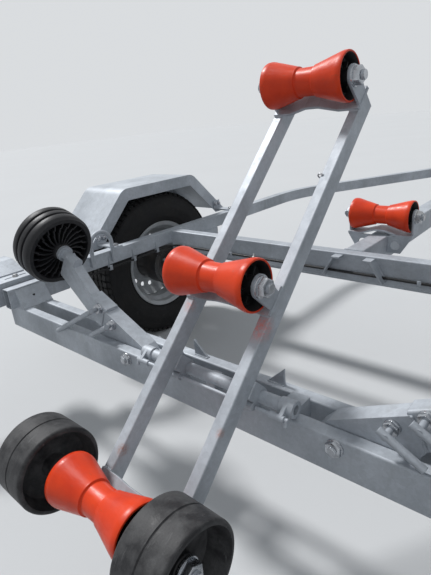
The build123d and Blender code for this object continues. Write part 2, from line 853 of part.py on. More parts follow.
# Side wheel: ribbed rubber with a hub, a web and two grooves round its tread
side_wheel_face = side_hub_face + wheel_axis * axle_gap
with BuildPart() as side_wheel:
    section = Plane(origin=side_wheel_face, x_dir=wheel_axis, z_dir=(1, 0, 0))
    radius = side_wheel_diameter / 2
    width = side_wheel_width
    mid = width / 2
    rim_in = radius - side_rim_wall
    hub_out = side_hub_radius
    half_profile = [
        (0, side_wheel_bore / 2),
        (0, hub_out),
        (mid - side_web / 2, hub_out + side_web / 2),
        (mid - side_web / 2, rim_in - side_web / 2),
        (side_rim_slope, rim_in),
        (side_rim_lip, rim_in + side_rim_lip),
        (side_rim_lip, rim_in + side_rim_slope),
        (side_rim_slope, radius - side_rim_lip),
        (side_rib_inset + side_rim_lip, radius),
        (mid - side_groove_near - side_groove_slope, radius),
        (mid - side_groove_near, radius - side_groove_slope),
        (mid - side_groove_near + side_groove_slope, radius),
    ]
    with BuildSketch(section) as wheel_half:
        with BuildLine():
            Polyline(*half_profile, *[(width - x, y) for x, y in half_profile[::-1]], close=True)
        make_face()
    revolve(wheel_half.sketch, axis=Axis(side_wheel_face, wheel_axis))
    hub_plane = Plane(origin=side_wheel_face, x_dir=(1, 0, 0), z_dir=wheel_axis)
    rib_line = [(hub_out - 1, 0), ((hub_out + rim_in) / 2, side_rib_bow), (rim_in + 1, 0)]
    with BuildSketch(inside(hub_plane, Plane.XY.offset(side_rib_inset))) as ribs:
        with PolarLocations(0, side_rib_count):
            Polygon(*strip(rib_line, side_rib_thickness), align=None)
    extrude(ribs.sketch, amount=width - 2 * side_rib_inset)
keep_pair(side_wheel, "side_wheel")

# Clamp levers: one at the sleeve's rear face and one at the lower arm's rear side
sleeve_screw = arm.from_local_coords((*sleeve_screw_place, -sleeve_width / 2))
arm_screw = arm.from_local_coords((*arm_screw_place, -channel_width / 2))
lever_line = Vector(-0.04, 0.882, -0.465)
with BuildPart() as clamp_handle:
    for screw, length, clear in ((sleeve_screw, long_lever, 40), (arm_screw, short_lever, 34)):
        rod(screw, screw - Vector(screw_boss_length, 0, 0), screw_boss_radius)
        rod(screw, screw - Vector(clear, 0, 0), screw_radius)
        eye = screw - Vector(clear - screw_radius, 0, 0)
        rod(eye - lever_line * lever_tail, eye + lever_line * length, lever_radius)
keep_pair(clamp_handle, "clamp_handle")

# Torsion axle: tube under the rails, trailing arms, stub axles and brake back plates
wheel_height = tyre_radius - pivot_height
axle_station = wheel_station + axle_forward
axle_centre_height = rear_rail_top - axle_pad_thickness - axle_tube_size / 2
arm_inner = rail_offset + rail_width / 2 + axle_arm_gap
rim_inner = wheel_centre_offset - rim_width / 2
disc_face = wheel_centre_offset + rim_disc_outset
hub_cap_end = disc_face + hub_cap_length
stub_end = wheel_centre_offset + stub_reach
drum_inner = rim_inner - drum_stand
back_plate_face = drum_inner - back_plate_gap
with BuildPart() as axle_beam:
    tube(
        at(axle_station, -arm_inner, axle_centre_height), at(axle_station, arm_inner, axle_centre_height),
        axle_tube_size, axle_tube_size, axle_tube_wall, corner=8,
    )
    for side in (1, -1):
        with Locations(at(axle_station, side * rail_offset, rear_rail_top - axle_pad_thickness / 2)):
            Box(axle_pad_length, rail_width + axle_pad_overhang, axle_pad_thickness)
        with BuildSketch(Plane.XZ.offset(-side * (arm_inner + axle_arm_thickness / 2))) as trailing:
            with BuildLine():
                Polyline(
                    (pivot_x + axle_station, pivot_height + axle_centre_height),
                    (pivot_x + wheel_station, pivot_height + wheel_height),
                )
            with Locations((pivot_x + axle_station, pivot_height + axle_centre_height)):
                Circle(axle_arm_root)
            with Locations((pivot_x + wheel_station, pivot_height + wheel_height)):
                Circle(axle_arm_tip)
            make_hull()
        extrude(trailing.sketch, amount=axle_arm_thickness / 2, both=True)
        rod(
            at(wheel_station, side * arm_inner, wheel_height),
            at(wheel_station, side * stub_end, wheel_height), stub_axle_diameter / 2,
        )
        rod(
            at(wheel_station, side * (back_plate_face - back_plate_thickness), wheel_height),
            at(wheel_station, side * back_plate_face, wheel_height), drum_radius + back_plate_gap,
        )
keep(axle_beam, "axle_beam")

# Road wheels: tyre, pierced steel rim and brake drum
for side, side_name in ((1, "left"), (-1, "right")):
    hub = at(wheel_station, 0, wheel_height)
    section = Plane(origin=hub, x_dir=(0, side, 0), z_dir=(side, 0, 0))
    wheel_line = Axis(hub, (0, 1, 0))
    half = rim_width / 2
    with BuildPart() as rim:
        with BuildSketch(section) as rim_section:
            with BuildLine():
                seat_side = [
                    (half, rim_flange_radius - rim_wall / 2),
                    (half - rim_flange_slope, rim_radius),
                    (half - rim_seat_width, rim_radius - rim_wall / 2),
                    (half - rim_well_edge, rim_radius - rim_well_depth),
                ]
                barrel = [(wheel_centre_offset - across, height) for across, height in seat_side]
                barrel += [(wheel_centre_offset + across, height) for across, height in seat_side[::-1]]
                Polyline(*strip(barrel, rim_wall), close=True)
            make_face()
            with BuildLine():
                disc = [
                    (disc_face + rim_wall / 2, hub_bore / 2),
                    (disc_face + rim_wall / 2, rim_disc_flat),
                    (disc_face + rim_disc_rise, rim_hole_circle / 2 - rim_disc_land),
                    (disc_face + rim_disc_rise, rim_hole_circle / 2 + rim_disc_land),
                    (wheel_centre_offset + rim_disc_foot, rim_radius - rim_well_depth - rim_wall / 4),
                ]
                Polyline(*strip(disc, rim_wall), close=True)
            make_face()
        revolve(rim_section.sketch, axis=wheel_line)
        disc_plane = Plane(origin=(hub.X, 0, hub.Z), x_dir=(1, 0, 0), z_dir=(0, side, 0))
        with BuildSketch(disc_plane) as piercings:
            with PolarLocations(rim_hole_circle / 2, rim_hole_count):
                Circle(rim_hole_diameter / 2)
            with PolarLocations(wheel_bolt_circle / 2, wheel_bolt_count):
                Circle(wheel_bolt_diameter / 2)
        extrude(piercings.sketch, amount=wheel_centre_offset + half, mode=Mode.SUBTRACT)
    keep(rim, f"road_rim_{side_name}")
    with BuildPart() as tyre:
        with BuildSketch(section) as tyre_section:
            with BuildLine():
                tyre_side = [
                    (half - tyre_bead_inset, rim_radius + rim_wall / 2 + seat_gap),
                    (half - rim_wall / 2, rim_flange_radius + tyre_bead_rise),
                    (tyre_width / 2, tyre_belly_radius),
                    (tyre_width / 2 - tyre_shoulder_inset, tyre_radius - tyre_shoulder_depth),
                    (tyre_width / 2 - tyre_tread_inset, tyre_radius),
                ]
                outer_side = [(wheel_centre_offset + across, height) for across, height in tyre_side]
                inner_side = [(wheel_centre_offset - across, height) for across, height in tyre_side[::-1]]
                Polyline(*outer_side, *inner_side, close=True)
            make_face()
        revolve(tyre_section.sketch, axis=wheel_line)
    keep(tyre, f"tyre_{side_name}")
    with BuildPart() as drum:
        with BuildSketch(section) as drum_section:
            with BuildLine():
                bore = stub_axle_diameter / 2 + pin_clearance
                Polyline(
                    (drum_inner, bore),
                    (drum_inner, drum_radius),
                    (drum_inner + drum_depth, drum_radius),
                    (drum_inner + drum_depth + drum_radius - drum_step, drum_step),
                    (disc_face, drum_step),
                    (disc_face, hub_bore / 2 - sleeve_play),
                    (hub_cap_end - hub_cap_bevel, hub_bore / 2 - sleeve_play),
                    (hub_cap_end, hub_bore / 2 - sleeve_play - hub_cap_bevel),
                    (hub_cap_end, 0),
                    (stub_end + sleeve_play, 0),
                    (stub_end + sleeve_play, bore),
                    close=True,
                )
            make_face()
        revolve(drum_section.sketch, axis=wheel_line)
    keep(drum, f"brake_drum_{side_name}")

# Fenders of folded sheet, their sloping ends reaching down beside the rail, on bent brackets
with BuildPart() as fender:
    x_mid = pivot_x + wheel_station
    z_foot = pivot_height + rail_top - fender_foot
    skin = [
        (x_mid - fender_span / 2, z_foot),
        (x_mid - fender_flat / 2, pivot_height + fender_top),
        (x_mid + fender_flat / 2, pivot_height + fender_top),
        (x_mid + fender_span / 2, z_foot),
    ]
    with BuildSketch(Plane.XZ.offset(-fender_inner)) as skin_section:
        with BuildLine():
            FilletPolyline(*skin, radius=fender_bend_radius)
        trace(line_width=fender_sheet)
    extrude(skin_section.sketch, amount=-fender_width)
    edge = offset_points(skin, -fender_flange / 2)
    for offset in (fender_inner, fender_inner + fender_width - fender_sheet):
        with BuildSketch(Plane.XZ.offset(-offset)) as flange_section:
            with BuildLine():
                FilletPolyline(*edge, radius=fender_bend_radius - fender_flange / 2)
            trace(line_width=fender_flange)
        extrude(flange_section.sketch, amount=-fender_sheet)
    with BuildSketch(Plane.XY) as under:
        with Locations((x_mid, fender_inner + fender_width / 2)):
            Rectangle(fender_span + fender_width, 2 * fender_width)
    extrude(under.sketch, amount=z_foot + fender_foot / 4, mode=Mode.SUBTRACT)
keep_pair(fender, "fender")
tab_face = fender_inner - seat_gap
stay_start = rail_offset - rail_width / 2 + rail_wall
with BuildPart() as fender_stays:
    for end in (-1, 1):
        for side in (1, -1):
            station = wheel_station + end * stay_station
            with Locations(at(station, side * (stay_start + tab_face) / 2, rail_top + stay_thickness / 2)):
                Box(stay_width, tab_face - stay_start, stay_thickness)
            with Locations(at(station, side * (tab_face - stay_thickness / 2), rail_top + stay_tab / 2)):
                Box(stay_width, stay_thickness, stay_tab)
keep(fender_stays, "fender_stays")

# Lashing hoops: round bar bent to a U on the inner face of each rail
hoop_bar = 7.5
hoop_half = 44.0
hoop_top = 78.0
hoop_leg = 38.0
hoop_station = 294.0
with BuildPart() as lashing_hoops:
    for side in (1, -1):
        line = rail_inner - hoop_bar - seat_gap
        hoop_plane = Plane(origin=at(hoop_station, side * line, rail_top), x_dir=(1, 0, 0), z_dir=(0, -1, 0))
        rise = hoop_top - hoop_half
        with BuildLine(hoop_plane) as hoop_path:
            Line((-hoop_half, -hoop_leg), (-hoop_half, rise))
            ThreePointArc((-hoop_half, rise), (0, rise + hoop_half), (hoop_half, rise))
            Line((hoop_half, rise), (hoop_half, -hoop_leg))
        with BuildSketch(Plane(origin=hoop_path.line @ 0, z_dir=(0, 0, 1))) as bar_section:
            Circle(hoop_bar)
        sweep(bar_section.sketch, path=hoop_path.line)
keep(lashing_hoops, "lashing_hoops")

# Roller brackets on the spine, with a pierced flange hanging over its sides, and their rollers
spine_rollers = {"roller_front": front_roller_station, "roller_spine": middle_roller_station}
spine_roller_height = rail_top + spine_roller_rise
with BuildPart() as spine_brackets:
    for station in spine_rollers.values():
        base = Plane(origin=at(station, 0, 0))
        cradle(base, 0, rail_top)
        ear_pair(base, 0, spine_roller_height, rail_top)
        roller_axle(base, 0, spine_roller_height, ear_outer)
        with BuildSketch(inside(base, Plane.YZ.offset(-cradle_length / 2))) as flange:
            with BuildLine():
                Polyline(
                    (-ear_outer, rail_top), (ear_outer, rail_top),
                    (flange_low_half, rail_top - flange_drop), (-flange_low_half, rail_top - flange_drop),
                    close=True,
                )
            make_face()
            with Locations((0, rail_top - flange_drop / 2)):
                Rectangle(spine_width, flange_drop + 1, mode=Mode.SUBTRACT)
            with Locations((flange_hole_offset, rail_top - flange_hole_drop),
                           (-flange_hole_offset, rail_top - flange_hole_drop)):
                Circle(flange_hole_radius, mode=Mode.SUBTRACT)
        extrude(flange.sketch, amount=ear_thickness)
keep(spine_brackets, "spine_brackets")
for node, station in spine_rollers.items():
    keel_roller(at(station, 0, spine_roller_height), node)

# Lamp carriers: folded sheet that slides along the rear rail, slotted, with the lamp at its rear end
web_line = rear_rail_outer + moving_gap + lamp_sheet / 2
strip_edge = web_line + lamp_strip_width
crest_line = strip_edge + lamp_groove + lamp_slope_width
outer_line = crest_line + lamp_crest_width
lamp_section = [
    (web_line, beam_top + 6),
    (web_line, lamp_strip_height),
    (strip_edge, lamp_strip_height),
    (strip_edge, lamp_strip_height - lamp_groove_depth),
    (strip_edge + lamp_groove, lamp_strip_height - lamp_groove_depth),
    (strip_edge + lamp_groove, lamp_strip_height + 4),
    (crest_line, lamp_crest_height),
    (outer_line, lamp_crest_height),
    (outer_line, lamp_crest_height - lamp_skirt),
]
lamp_length = lamp_bar_end - lamp_bar_start
lamp_mid = (strip_edge + lamp_groove + outer_line) / 2
lamp_width = outer_line - strip_edge - lamp_groove
lamp_middle_height = lamp_crest_height - lamp_sheet - lamp_height / 2 - 4
with BuildPart() as lamp_bar:
    with BuildSketch(Plane.YZ.offset(pivot_x + lamp_bar_start)) as folded:
        with BuildLine():
            Polyline(*[(y, z + pivot_height) for y, z in strip(lamp_section, lamp_sheet)], close=True)
        make_face()
    extrude(folded.sketch, amount=lamp_length)
    with BuildSketch(Plane.YZ.offset(pivot_x + lamp_bar_start)) as back:
        with Locations((lamp_mid, pivot_height + lamp_middle_height + 2)):
            Rectangle(lamp_width, lamp_height + 8)
    extrude(back.sketch, amount=lamp_sheet)
    slot_middle = (web_line + strip_edge) / 2 + 2
    with BuildSketch(Plane.XY.offset(pivot_height + lamp_strip_height)) as slots:
        for index in range(lamp_slot_count):
            with Locations((pivot_x + lamp_bar_end - lamp_slot_margin - index * lamp_slot_pitch, slot_middle)):
                SlotOverall(lamp_slot_length, lamp_slot_width)
    extrude(slots.sketch, amount=lamp_sheet, both=True, mode=Mode.SUBTRACT)
keep_pair(lamp_bar, "lamp_bar")
with BuildPart() as lamp:
    with BuildSketch(Plane.YZ.offset(pivot_x + lamp_bar_start)) as lens:
        with Locations((lamp_mid, pivot_height + lamp_middle_height)):
            RectangleRounded(lamp_width - 4, lamp_height, 8)
    extrude(lens.sketch, amount=-42, taper=3)
keep_pair(lamp, "lamp")

# Wiring cable clipped under the rails and along the cross member
cable_inset = cable_radius + seat_gap
cable_side = [
    (rail_tail_station + 60, rear_rail_inner - cable_inset, rear_rail_top - 20),
    (rail_corner_station + 10, rail_inner - cable_inset + 6, rear_rail_top - 14),
    (430.0, rail_inner - cable_inset, rear_rail_top - 12),
    (cross_station - cable_inset, rail_inner - cable_inset, cable_cross_height),
]
cable_route = [at(*point) for point in cable_side]
cable_route += [at(station, -offset, height) for station, offset, height in cable_side[::-1]]
with BuildPart() as wiring_cable:
    with BuildLine() as cable_line:
        FilletPolyline(*cable_route, radius=[40, 60, 40, 40, 60, 40])
    with BuildSketch(Plane(origin=cable_line.line @ 0, z_dir=cable_line.line % 0)) as cable_section:
        Circle(cable_radius)
    sweep(cable_section.sketch, path=cable_line.line)
keep(wiring_cable, "wiring_cable")

# Winch post with its shelf, side plates and bow stop
winch_height = rail_top + post_height + post_shelf + drum_rise
gear_spacing = gear_module * (gear_teeth + pinion_teeth) / 2 + gear_play
shaft_station = winch_station + gear_spacing * cos(radians(shaft_angle))
shaft_height = winch_height - gear_spacing * sin(radians(shaft_angle))
arm_rise = rail_top + post_height + post_shelf + bow_arm_height / 2
with BuildPart() as winch_post:
    tube(
        at(winch_station, 0, rail_top), at(winch_station, 0, rail_top + post_height),
        post_size, post_size, post_wall, up=(1, 0, 0),
    )
    with Locations(at(winch_station, 0, rail_top + post_height + post_shelf / 2)):
        Box(post_shelf_length, post_shelf_width, post_shelf)
    for side in (1, -1):
        with BuildSketch(Plane.XZ.offset(-side * cheek_offset)) as cheek:
            with Locations((pivot_x + winch_station, pivot_height + winch_height)):
                Circle(cheek_radius)
            with Locations((pivot_x + shaft_station, pivot_height + shaft_height)):
                Circle(crank_shaft_radius + 10)
            with Locations((pivot_x + winch_station, pivot_height + rail_top + post_height + post_shelf + 5)):
                Rectangle(130, 10)
            make_hull()
            with Locations((pivot_x + shaft_station, pivot_height + shaft_height)):
                Circle(crank_shaft_radius + pin_clearance, mode=Mode.SUBTRACT)
        extrude(cheek.sketch, amount=cheek_thickness / 2, both=True)
    tube(
        at(winch_station - post_size, 0, arm_rise), at(bow_stop_station, 0, arm_rise),
        bow_arm_width, bow_arm_height, 3,
    )
    rod(
        at(winch_station, -cheek_offset, winch_height), at(winch_station, cheek_offset, winch_height),
        drum_axle_radius,
    )
keep(winch_post, "winch_post")
with BuildPart() as bow_stop:
    with BuildSketch(Plane.XY.offset(pivot_height + arm_rise - bow_stop_height / 2)) as vee:
        with BuildLine():
            x_vee = pivot_x + bow_stop_station
            Polyline(
                (x_vee, 60), (x_vee - 60, 70), (x_vee - 25, 0), (x_vee - 60, -70), (x_vee, -60), close=True,
            )
        make_face()
    extrude(vee.sketch, amount=bow_stop_height)
keep(bow_stop, "bow_stop")
drum_bore = drum_axle_radius + pin_clearance


def gear_face(plane, centre, teeth, first_angle):
    """Face of a spur gear: a root disc with a tapered tooth at each pitch."""
    pitch_radius = gear_module * teeth / 2
    root = pitch_radius - 1.15 * gear_module
    tip = pitch_radius + 0.8 * gear_module
    with BuildSketch(plane) as gear:
        with Locations(centre):
            Circle(root)
            with PolarLocations(root, teeth, start_angle=first_angle):
                half_root = 0.85 * gear_module
                half_tip = 0.3 * gear_module
                Polygon(
                    (-1, -half_root), (tip - root, -half_tip), (tip - root, half_tip), (-1, half_root),
                    align=None,
                )
    return gear.sketch


drum_half = cheek_offset - cheek_thickness / 2 - 1
with BuildPart() as winch_drum:
    drum_start = at(winch_station, -drum_half, winch_height)
    drum_end = at(winch_station, drum_half, winch_height)
    rod(drum_start, drum_end, drum_barrel_radius, drum_bore)
    rod(drum_start, drum_start + Vector(0, drum_flange, 0), drum_flange_radius, drum_bore)
    wheel_face = gear_face(
        Plane.XZ.offset(-drum_half + gear_width), (pivot_x + winch_station, pivot_height + winch_height),
        gear_teeth, -shaft_angle + 180 / gear_teeth,
    )
    extrude(wheel_face, amount=-gear_width)
    rod(drum_end - Vector(0, gear_width + 1, 0), drum_end + Vector(0, 1, 0), drum_bore, mode=Mode.SUBTRACT)
keep(winch_drum, "winch_drum")
with BuildPart() as winch_crank:
    rod(
        at(shaft_station, -crank_offset, shaft_height),
        at(shaft_station, cheek_offset + crank_shaft_end, shaft_height), crank_shaft_radius,
    )
    pinion_face = gear_face(
        Plane.XZ.offset(-drum_half + gear_width), (pivot_x + shaft_station, pivot_height + shaft_height),
        pinion_teeth, 180 - shaft_angle,
    )
    extrude(pinion_face, amount=-gear_width)
    tube(
        at(shaft_station, -crank_offset, shaft_height - 2 * crank_shaft_radius),
        at(shaft_station, -crank_offset, shaft_height + crank_length + crank_arm_width / 2),
        crank_arm_width, crank_arm_thickness, up=(0, 1, 0), corner=2,
    )
    rod(
        at(shaft_station, -crank_offset, shaft_height + crank_length),
        at(shaft_station, -crank_offset - crank_grip_length, shaft_height + crank_length), crank_grip_radius,
    )
keep(winch_crank, "winch_crank")

# Overrun unit: cast housing, draw shaft in its bellows and the ball coupling
draw_rise = 40.0
draw_height = rail_top + draw_rise
housing_back = spine_end_station - 250
housing_front = spine_end_station + 90
housing_half = 40.0
housing_height = 80.0
housing_slope = 90.0
housing_step = 30.0
with BuildPart() as overrun_unit:
    with BuildSketch(Plane.XZ) as housing:
        with BuildLine():
            x_front = pivot_x + housing_front
            x_back = pivot_x + housing_back
            z_low = pivot_height + rail_top + seat_gap
            Polyline(
                (x_back, z_low), (x_front, z_low), (x_front, z_low + housing_height),
                (x_back + housing_slope, z_low + housing_height), (x_back, z_low + housing_step), close=True,
            )
        make_face()
    extrude(housing.sketch, amount=housing_half, both=True)
keep(overrun_unit, "overrun_unit")
pleat_count = 6
pleat_pitch = 20.0
pleat_root = 34.0
pleat_crest = 42.0
with BuildPart() as draw_bellows:
    with BuildSketch(Plane.XZ) as folds:
        with BuildLine():
            x_from = pivot_x + housing_front
            z_line = pivot_height + draw_height
            pleats = [(x_from, z_line)]
            for index in range(pleat_count):
                pleats.append((x_from + pleat_pitch * index, z_line + pleat_root))
                pleats.append((x_from + pleat_pitch * (index + 0.5), z_line + pleat_crest))
            pleats.append((x_from + pleat_pitch * pleat_count, z_line + pleat_root))
            pleats.append((x_from + pleat_pitch * pleat_count, z_line))
            Polyline(*pleats, close=True)
        make_face()
    revolve(folds.sketch, axis=Axis((0, 0, pivot_height + draw_height), (1, 0, 0)))
keep(draw_bellows, "draw_bellows")
ball_radius = 25.0
ball_clearance = 0.5
ball_back = 52.0
coupling_half_height = 46.0
socket_depth = 40.0
shaft_start = spine_end_station + 210
shell_start = spine_end_station + 300
draw_shaft_radius = 32.0
handle_half = 16.0
with BuildPart() as coupling_head:
    rod(at(shaft_start, 0, draw_height), at(shell_start + draw_shaft_radius, 0, draw_height), draw_shaft_radius)
    with BuildSketch(Plane.XZ) as shell:
        with BuildLine():
            x_from = pivot_x + shell_start
            x_nose = pivot_x + nose_station
            z_line = pivot_height + draw_height
            Polyline(
                (x_from, z_line - 30), (x_nose - 100, z_line - coupling_half_height),
                (x_nose - 12, z_line - coupling_half_height), (x_nose, z_line - 20),
                (x_nose - 8, z_line + 6), (x_nose - 100, z_line + 34), (x_from, z_line + 32), close=True,
            )
        make_face()
    extrude(shell.sketch, amount=housing_half, both=True)
    rod(
        at(nose_station - ball_back, 0, draw_height - coupling_half_height - 1),
        at(nose_station - ball_back, 0, draw_height - coupling_half_height + socket_depth),
        ball_radius + ball_clearance, mode=Mode.SUBTRACT,
    )
    with BuildSketch(Plane.XZ) as handle:
        with BuildLine():
            Polyline(
                (x_nose - 120, z_line + 30), (x_nose - 90, z_line + 30), (x_nose - 130, z_line + 72),
                (x_nose - 210, z_line + 84), (x_nose - 210, z_line + 74), (x_nose - 138, z_line + 62), close=True,
            )
        make_face()
    extrude(handle.sketch, amount=handle_half, both=True)
keep(coupling_head, "coupling_head")
lever_side = housing_half + 10
lever_foot = spine_end_station - 60
lever_head = spine_end_station - 190
lever_reach = 300.0
lever_boss = 14.0
with BuildPart() as handbrake_lever:
    rod(
        at(lever_foot, -housing_half - seat_gap, draw_height), at(lever_foot, -lever_side - 8, draw_height), lever_boss,
    )
    tube(
        at(lever_foot, -lever_side, draw_height), at(lever_head, -lever_side, rail_top + lever_reach),
        12, 26, up=(1, 0, 0), corner=3,
    )
keep(handbrake_lever, "handbrake_lever")

# Jockey wheel: clamp and outer tube on the spine, sliding inner tube, fork and wheel
jockey_outer = 24.0
jockey_inner_radius = 20.0
jockey_tube_wall = 3.0
jockey_wheel_radius = 100.0
jockey_wheel_width = 56.0
jockey_trail = 45.0
jockey_offset = spine_width / 2 + jockey_outer + 22
jockey_travel = 200.0
jockey_collar_top = 12.0
fork_top = 2 * jockey_wheel_radius + 26
jockey_low = fork_top + jockey_collar_top + jockey_travel + moving_gap
jockey_top = 800.0
jockey_sleeve_wall = 5.0
jockey_mount_height = 50.0
jockey_mount_plate = 12.0
jockey_mount_size = 70.0
jockey_neck = 20.0
jockey_neck_width = 40.0
jockey_cap = 12.0
jockey_hub_radius = 10.0
jockey_crank_rise = 22.0
jockey_crank_length = 150.0
jockey_crank_width = 24.0
jockey_crank_thickness = 8.0
jockey_knob_radius = 12.0
jockey_knob_height = 88.0
jockey_collar_extra = 8.0
jockey_axle_radius = 8.0
fork_plate = 5.0
fork_plate_length = 60.0
fork_blade_gap = 8.0
fork_blade_eye = 18.0
fork_turntable_radius = 34.0
fork_axle_end = 14.0
fork_play = 3.0


def jockey(x=0.0, y=0.0, z=0.0):
    return Vector(pivot_x + jockey_station + x, jockey_offset + y, z)


spine_middle_height = pivot_height + rail_top - spine_height / 2
with BuildPart() as jockey_clamp:
    bore = jockey_inner_radius + pin_clearance
    rod(jockey(z=jockey_low), jockey(z=jockey_top), jockey_outer, bore)
    plate_face = spine_width / 2 + jockey_mount_plate
    with Locations((pivot_x + jockey_station, plate_face - jockey_mount_plate / 2, spine_middle_height)):
        Box(jockey_mount_size, jockey_mount_plate, jockey_mount_size)
    with Locations((pivot_x + jockey_station, plate_face + jockey_mount_plate / 3, spine_middle_height)):
        Box(jockey_neck_width, jockey_neck, jockey_mount_height)
    rod(
        jockey(z=spine_middle_height - jockey_mount_height / 2),
        jockey(z=spine_middle_height + jockey_mount_height / 2), jockey_outer + jockey_sleeve_wall, bore,
    )
    crank_height = jockey_top + jockey_crank_rise
    knob_offset = jockey_crank_length - jockey_knob_radius + 2
    rod(jockey(z=jockey_top), jockey(z=jockey_top + jockey_cap), jockey_outer)
    rod(jockey(z=jockey_top + jockey_cap), jockey(z=crank_height + jockey_crank_thickness / 2), jockey_hub_radius)
    tube(
        jockey(z=crank_height), jockey(y=jockey_crank_length, z=crank_height),
        jockey_crank_width, jockey_crank_thickness, corner=2,
    )
    rod(
        jockey(y=knob_offset, z=crank_height), jockey(y=knob_offset, z=crank_height + jockey_knob_height),
        jockey_knob_radius,
    )
keep(jockey_clamp, "jockey_clamp")
with BuildPart() as jockey_inner:
    inner_top = jockey_top - jockey_travel - jockey_neck
    collar_low = fork_top + fork_play
    rod(
        jockey(z=fork_top + jockey_hub_radius), jockey(z=inner_top),
        jockey_inner_radius, jockey_inner_radius - jockey_tube_wall,
    )
    rod(jockey(z=collar_low), jockey(z=fork_top + jockey_collar_top), jockey_inner_radius + jockey_collar_extra)
keep(jockey_inner, "jockey_inner")
with BuildPart() as jockey_fork:
    rod(jockey(z=fork_top - fork_plate), jockey(z=collar_low - seat_gap), fork_turntable_radius)
    for side in (1, -1):
        blade_offset = jockey_offset + side * (jockey_wheel_width / 2 + fork_blade_gap)
        with BuildSketch(Plane.XZ.offset(-blade_offset)) as blade:
            x_fork = pivot_x + jockey_station
            with Locations((x_fork - jockey_trail, jockey_wheel_radius)):
                Circle(fork_blade_eye)
            with Locations((x_fork, fork_top - fork_play)):
                Rectangle(fork_plate_length - 4, 2 * fork_play)
            make_hull()
        extrude(blade.sketch, amount=fork_plate / 2, both=True)
    with Locations(jockey(z=fork_top - fork_plate)):
        Box(fork_plate_length, jockey_wheel_width + 2 * fork_blade_gap + fork_plate, fork_plate)
    axle_reach = jockey_wheel_width / 2 + fork_axle_end
    rod(
        jockey(-jockey_trail, -axle_reach, jockey_wheel_radius),
        jockey(-jockey_trail, axle_reach, jockey_wheel_radius), jockey_axle_radius,
    )
keep(jockey_fork, "jockey_fork")
with BuildPart() as jockey_wheel:
    centre = jockey(-jockey_trail, 0, jockey_wheel_radius)
    section = Plane(origin=centre, x_dir=(0, 1, 0), z_dir=(1, 0, 0))
    half = jockey_wheel_width / 2
    half_profile = [
        (half - 14, jockey_wheel_radius), (half - 2, 84), (half - 2, 68), (half - 14, 62), (half - 14, 30),
        (half, 24), (half, jockey_axle_radius + pin_clearance),
    ]
    with BuildSketch(section) as wheel_section:
        with BuildLine():
            Polyline(*half_profile, *[(-x, y) for x, y in half_profile[::-1]], close=True)
        make_face()
    revolve(wheel_section.sketch, axis=Axis(centre, (0, 1, 0)))
keep(jockey_wheel, "jockey_wheel")
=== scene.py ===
import bpy, bmesh, json, math, random
from mathutils import Matrix, Vector


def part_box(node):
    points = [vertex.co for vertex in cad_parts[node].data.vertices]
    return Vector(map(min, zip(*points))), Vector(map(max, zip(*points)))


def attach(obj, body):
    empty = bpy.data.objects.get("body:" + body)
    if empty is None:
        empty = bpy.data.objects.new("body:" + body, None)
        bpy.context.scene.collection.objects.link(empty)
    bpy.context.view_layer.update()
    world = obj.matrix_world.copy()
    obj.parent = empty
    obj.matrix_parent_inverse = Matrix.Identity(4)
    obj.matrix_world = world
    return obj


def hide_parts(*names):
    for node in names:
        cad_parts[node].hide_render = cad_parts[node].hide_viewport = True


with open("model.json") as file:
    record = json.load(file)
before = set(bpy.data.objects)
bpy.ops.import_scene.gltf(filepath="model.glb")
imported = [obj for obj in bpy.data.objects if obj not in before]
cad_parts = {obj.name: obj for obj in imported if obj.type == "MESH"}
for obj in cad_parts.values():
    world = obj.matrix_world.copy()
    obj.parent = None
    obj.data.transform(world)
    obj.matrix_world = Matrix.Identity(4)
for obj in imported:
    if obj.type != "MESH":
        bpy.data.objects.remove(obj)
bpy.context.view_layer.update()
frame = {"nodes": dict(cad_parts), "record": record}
nodes = frame["nodes"]
print("frame loaded,", len(nodes), "nodes")



# places taken from the frame, in metres

beamLow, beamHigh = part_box("rear_beam")
pivotInset, pivotRise = 0.004, 0.024  # in front of the beam's rear face, and over its top
pivot = Vector((beamLow.x + pivotInset, 0, beamHigh.z + pivotRise))  # the ladder's pivot, on the middle line
ladderTilt = math.radians(43.5)
ladderShift = -0.022
armTurn = math.radians(26.0)
armRoot = dict(u=0.049, y=0.247, z=-0.049)
signOf = dict(left=1, right=-1)


def at(u, y, z):  # forward of the pivot, to the left, above the pivot
    return Vector((pivot.x + u, y, pivot.z + z))


def onLadder(along, offset, rise):
    return at(along * math.cos(ladderTilt) - rise * math.sin(ladderTilt), ladderShift + offset,
              along * math.sin(ladderTilt) + rise * math.cos(ladderTilt))


def onArm(along, up, forward, side=1):
    y = armRoot["y"] + along * math.cos(armTurn) - up * math.sin(armTurn)
    z = armRoot["z"] + along * math.sin(armTurn) + up * math.cos(armTurn)
    return at(armRoot["u"] + forward, side * y, z)


def middleOf(node):
    low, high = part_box(node)
    return (low + high) / 2


def towards(turn, rise):  # unit vector, turned from +X to the left and then raised, in radians
    return Vector((math.cos(turn) * math.cos(rise), math.sin(turn) * math.cos(rise), math.sin(rise)))


def addObject(name, data):
    made = bpy.data.objects.new(name, data)
    bpy.context.collection.objects.link(made)
    return made


# camera

cameraView = dict(
    back=0.598, right=0.595, height=0.933,  # from the pivot, and over the ground
    heading=42.95, down=20.65, roll=5.48,
    focalPixels=455.5, pictureHeight=575, sensor=24.0, near=0.02, far=60.0)


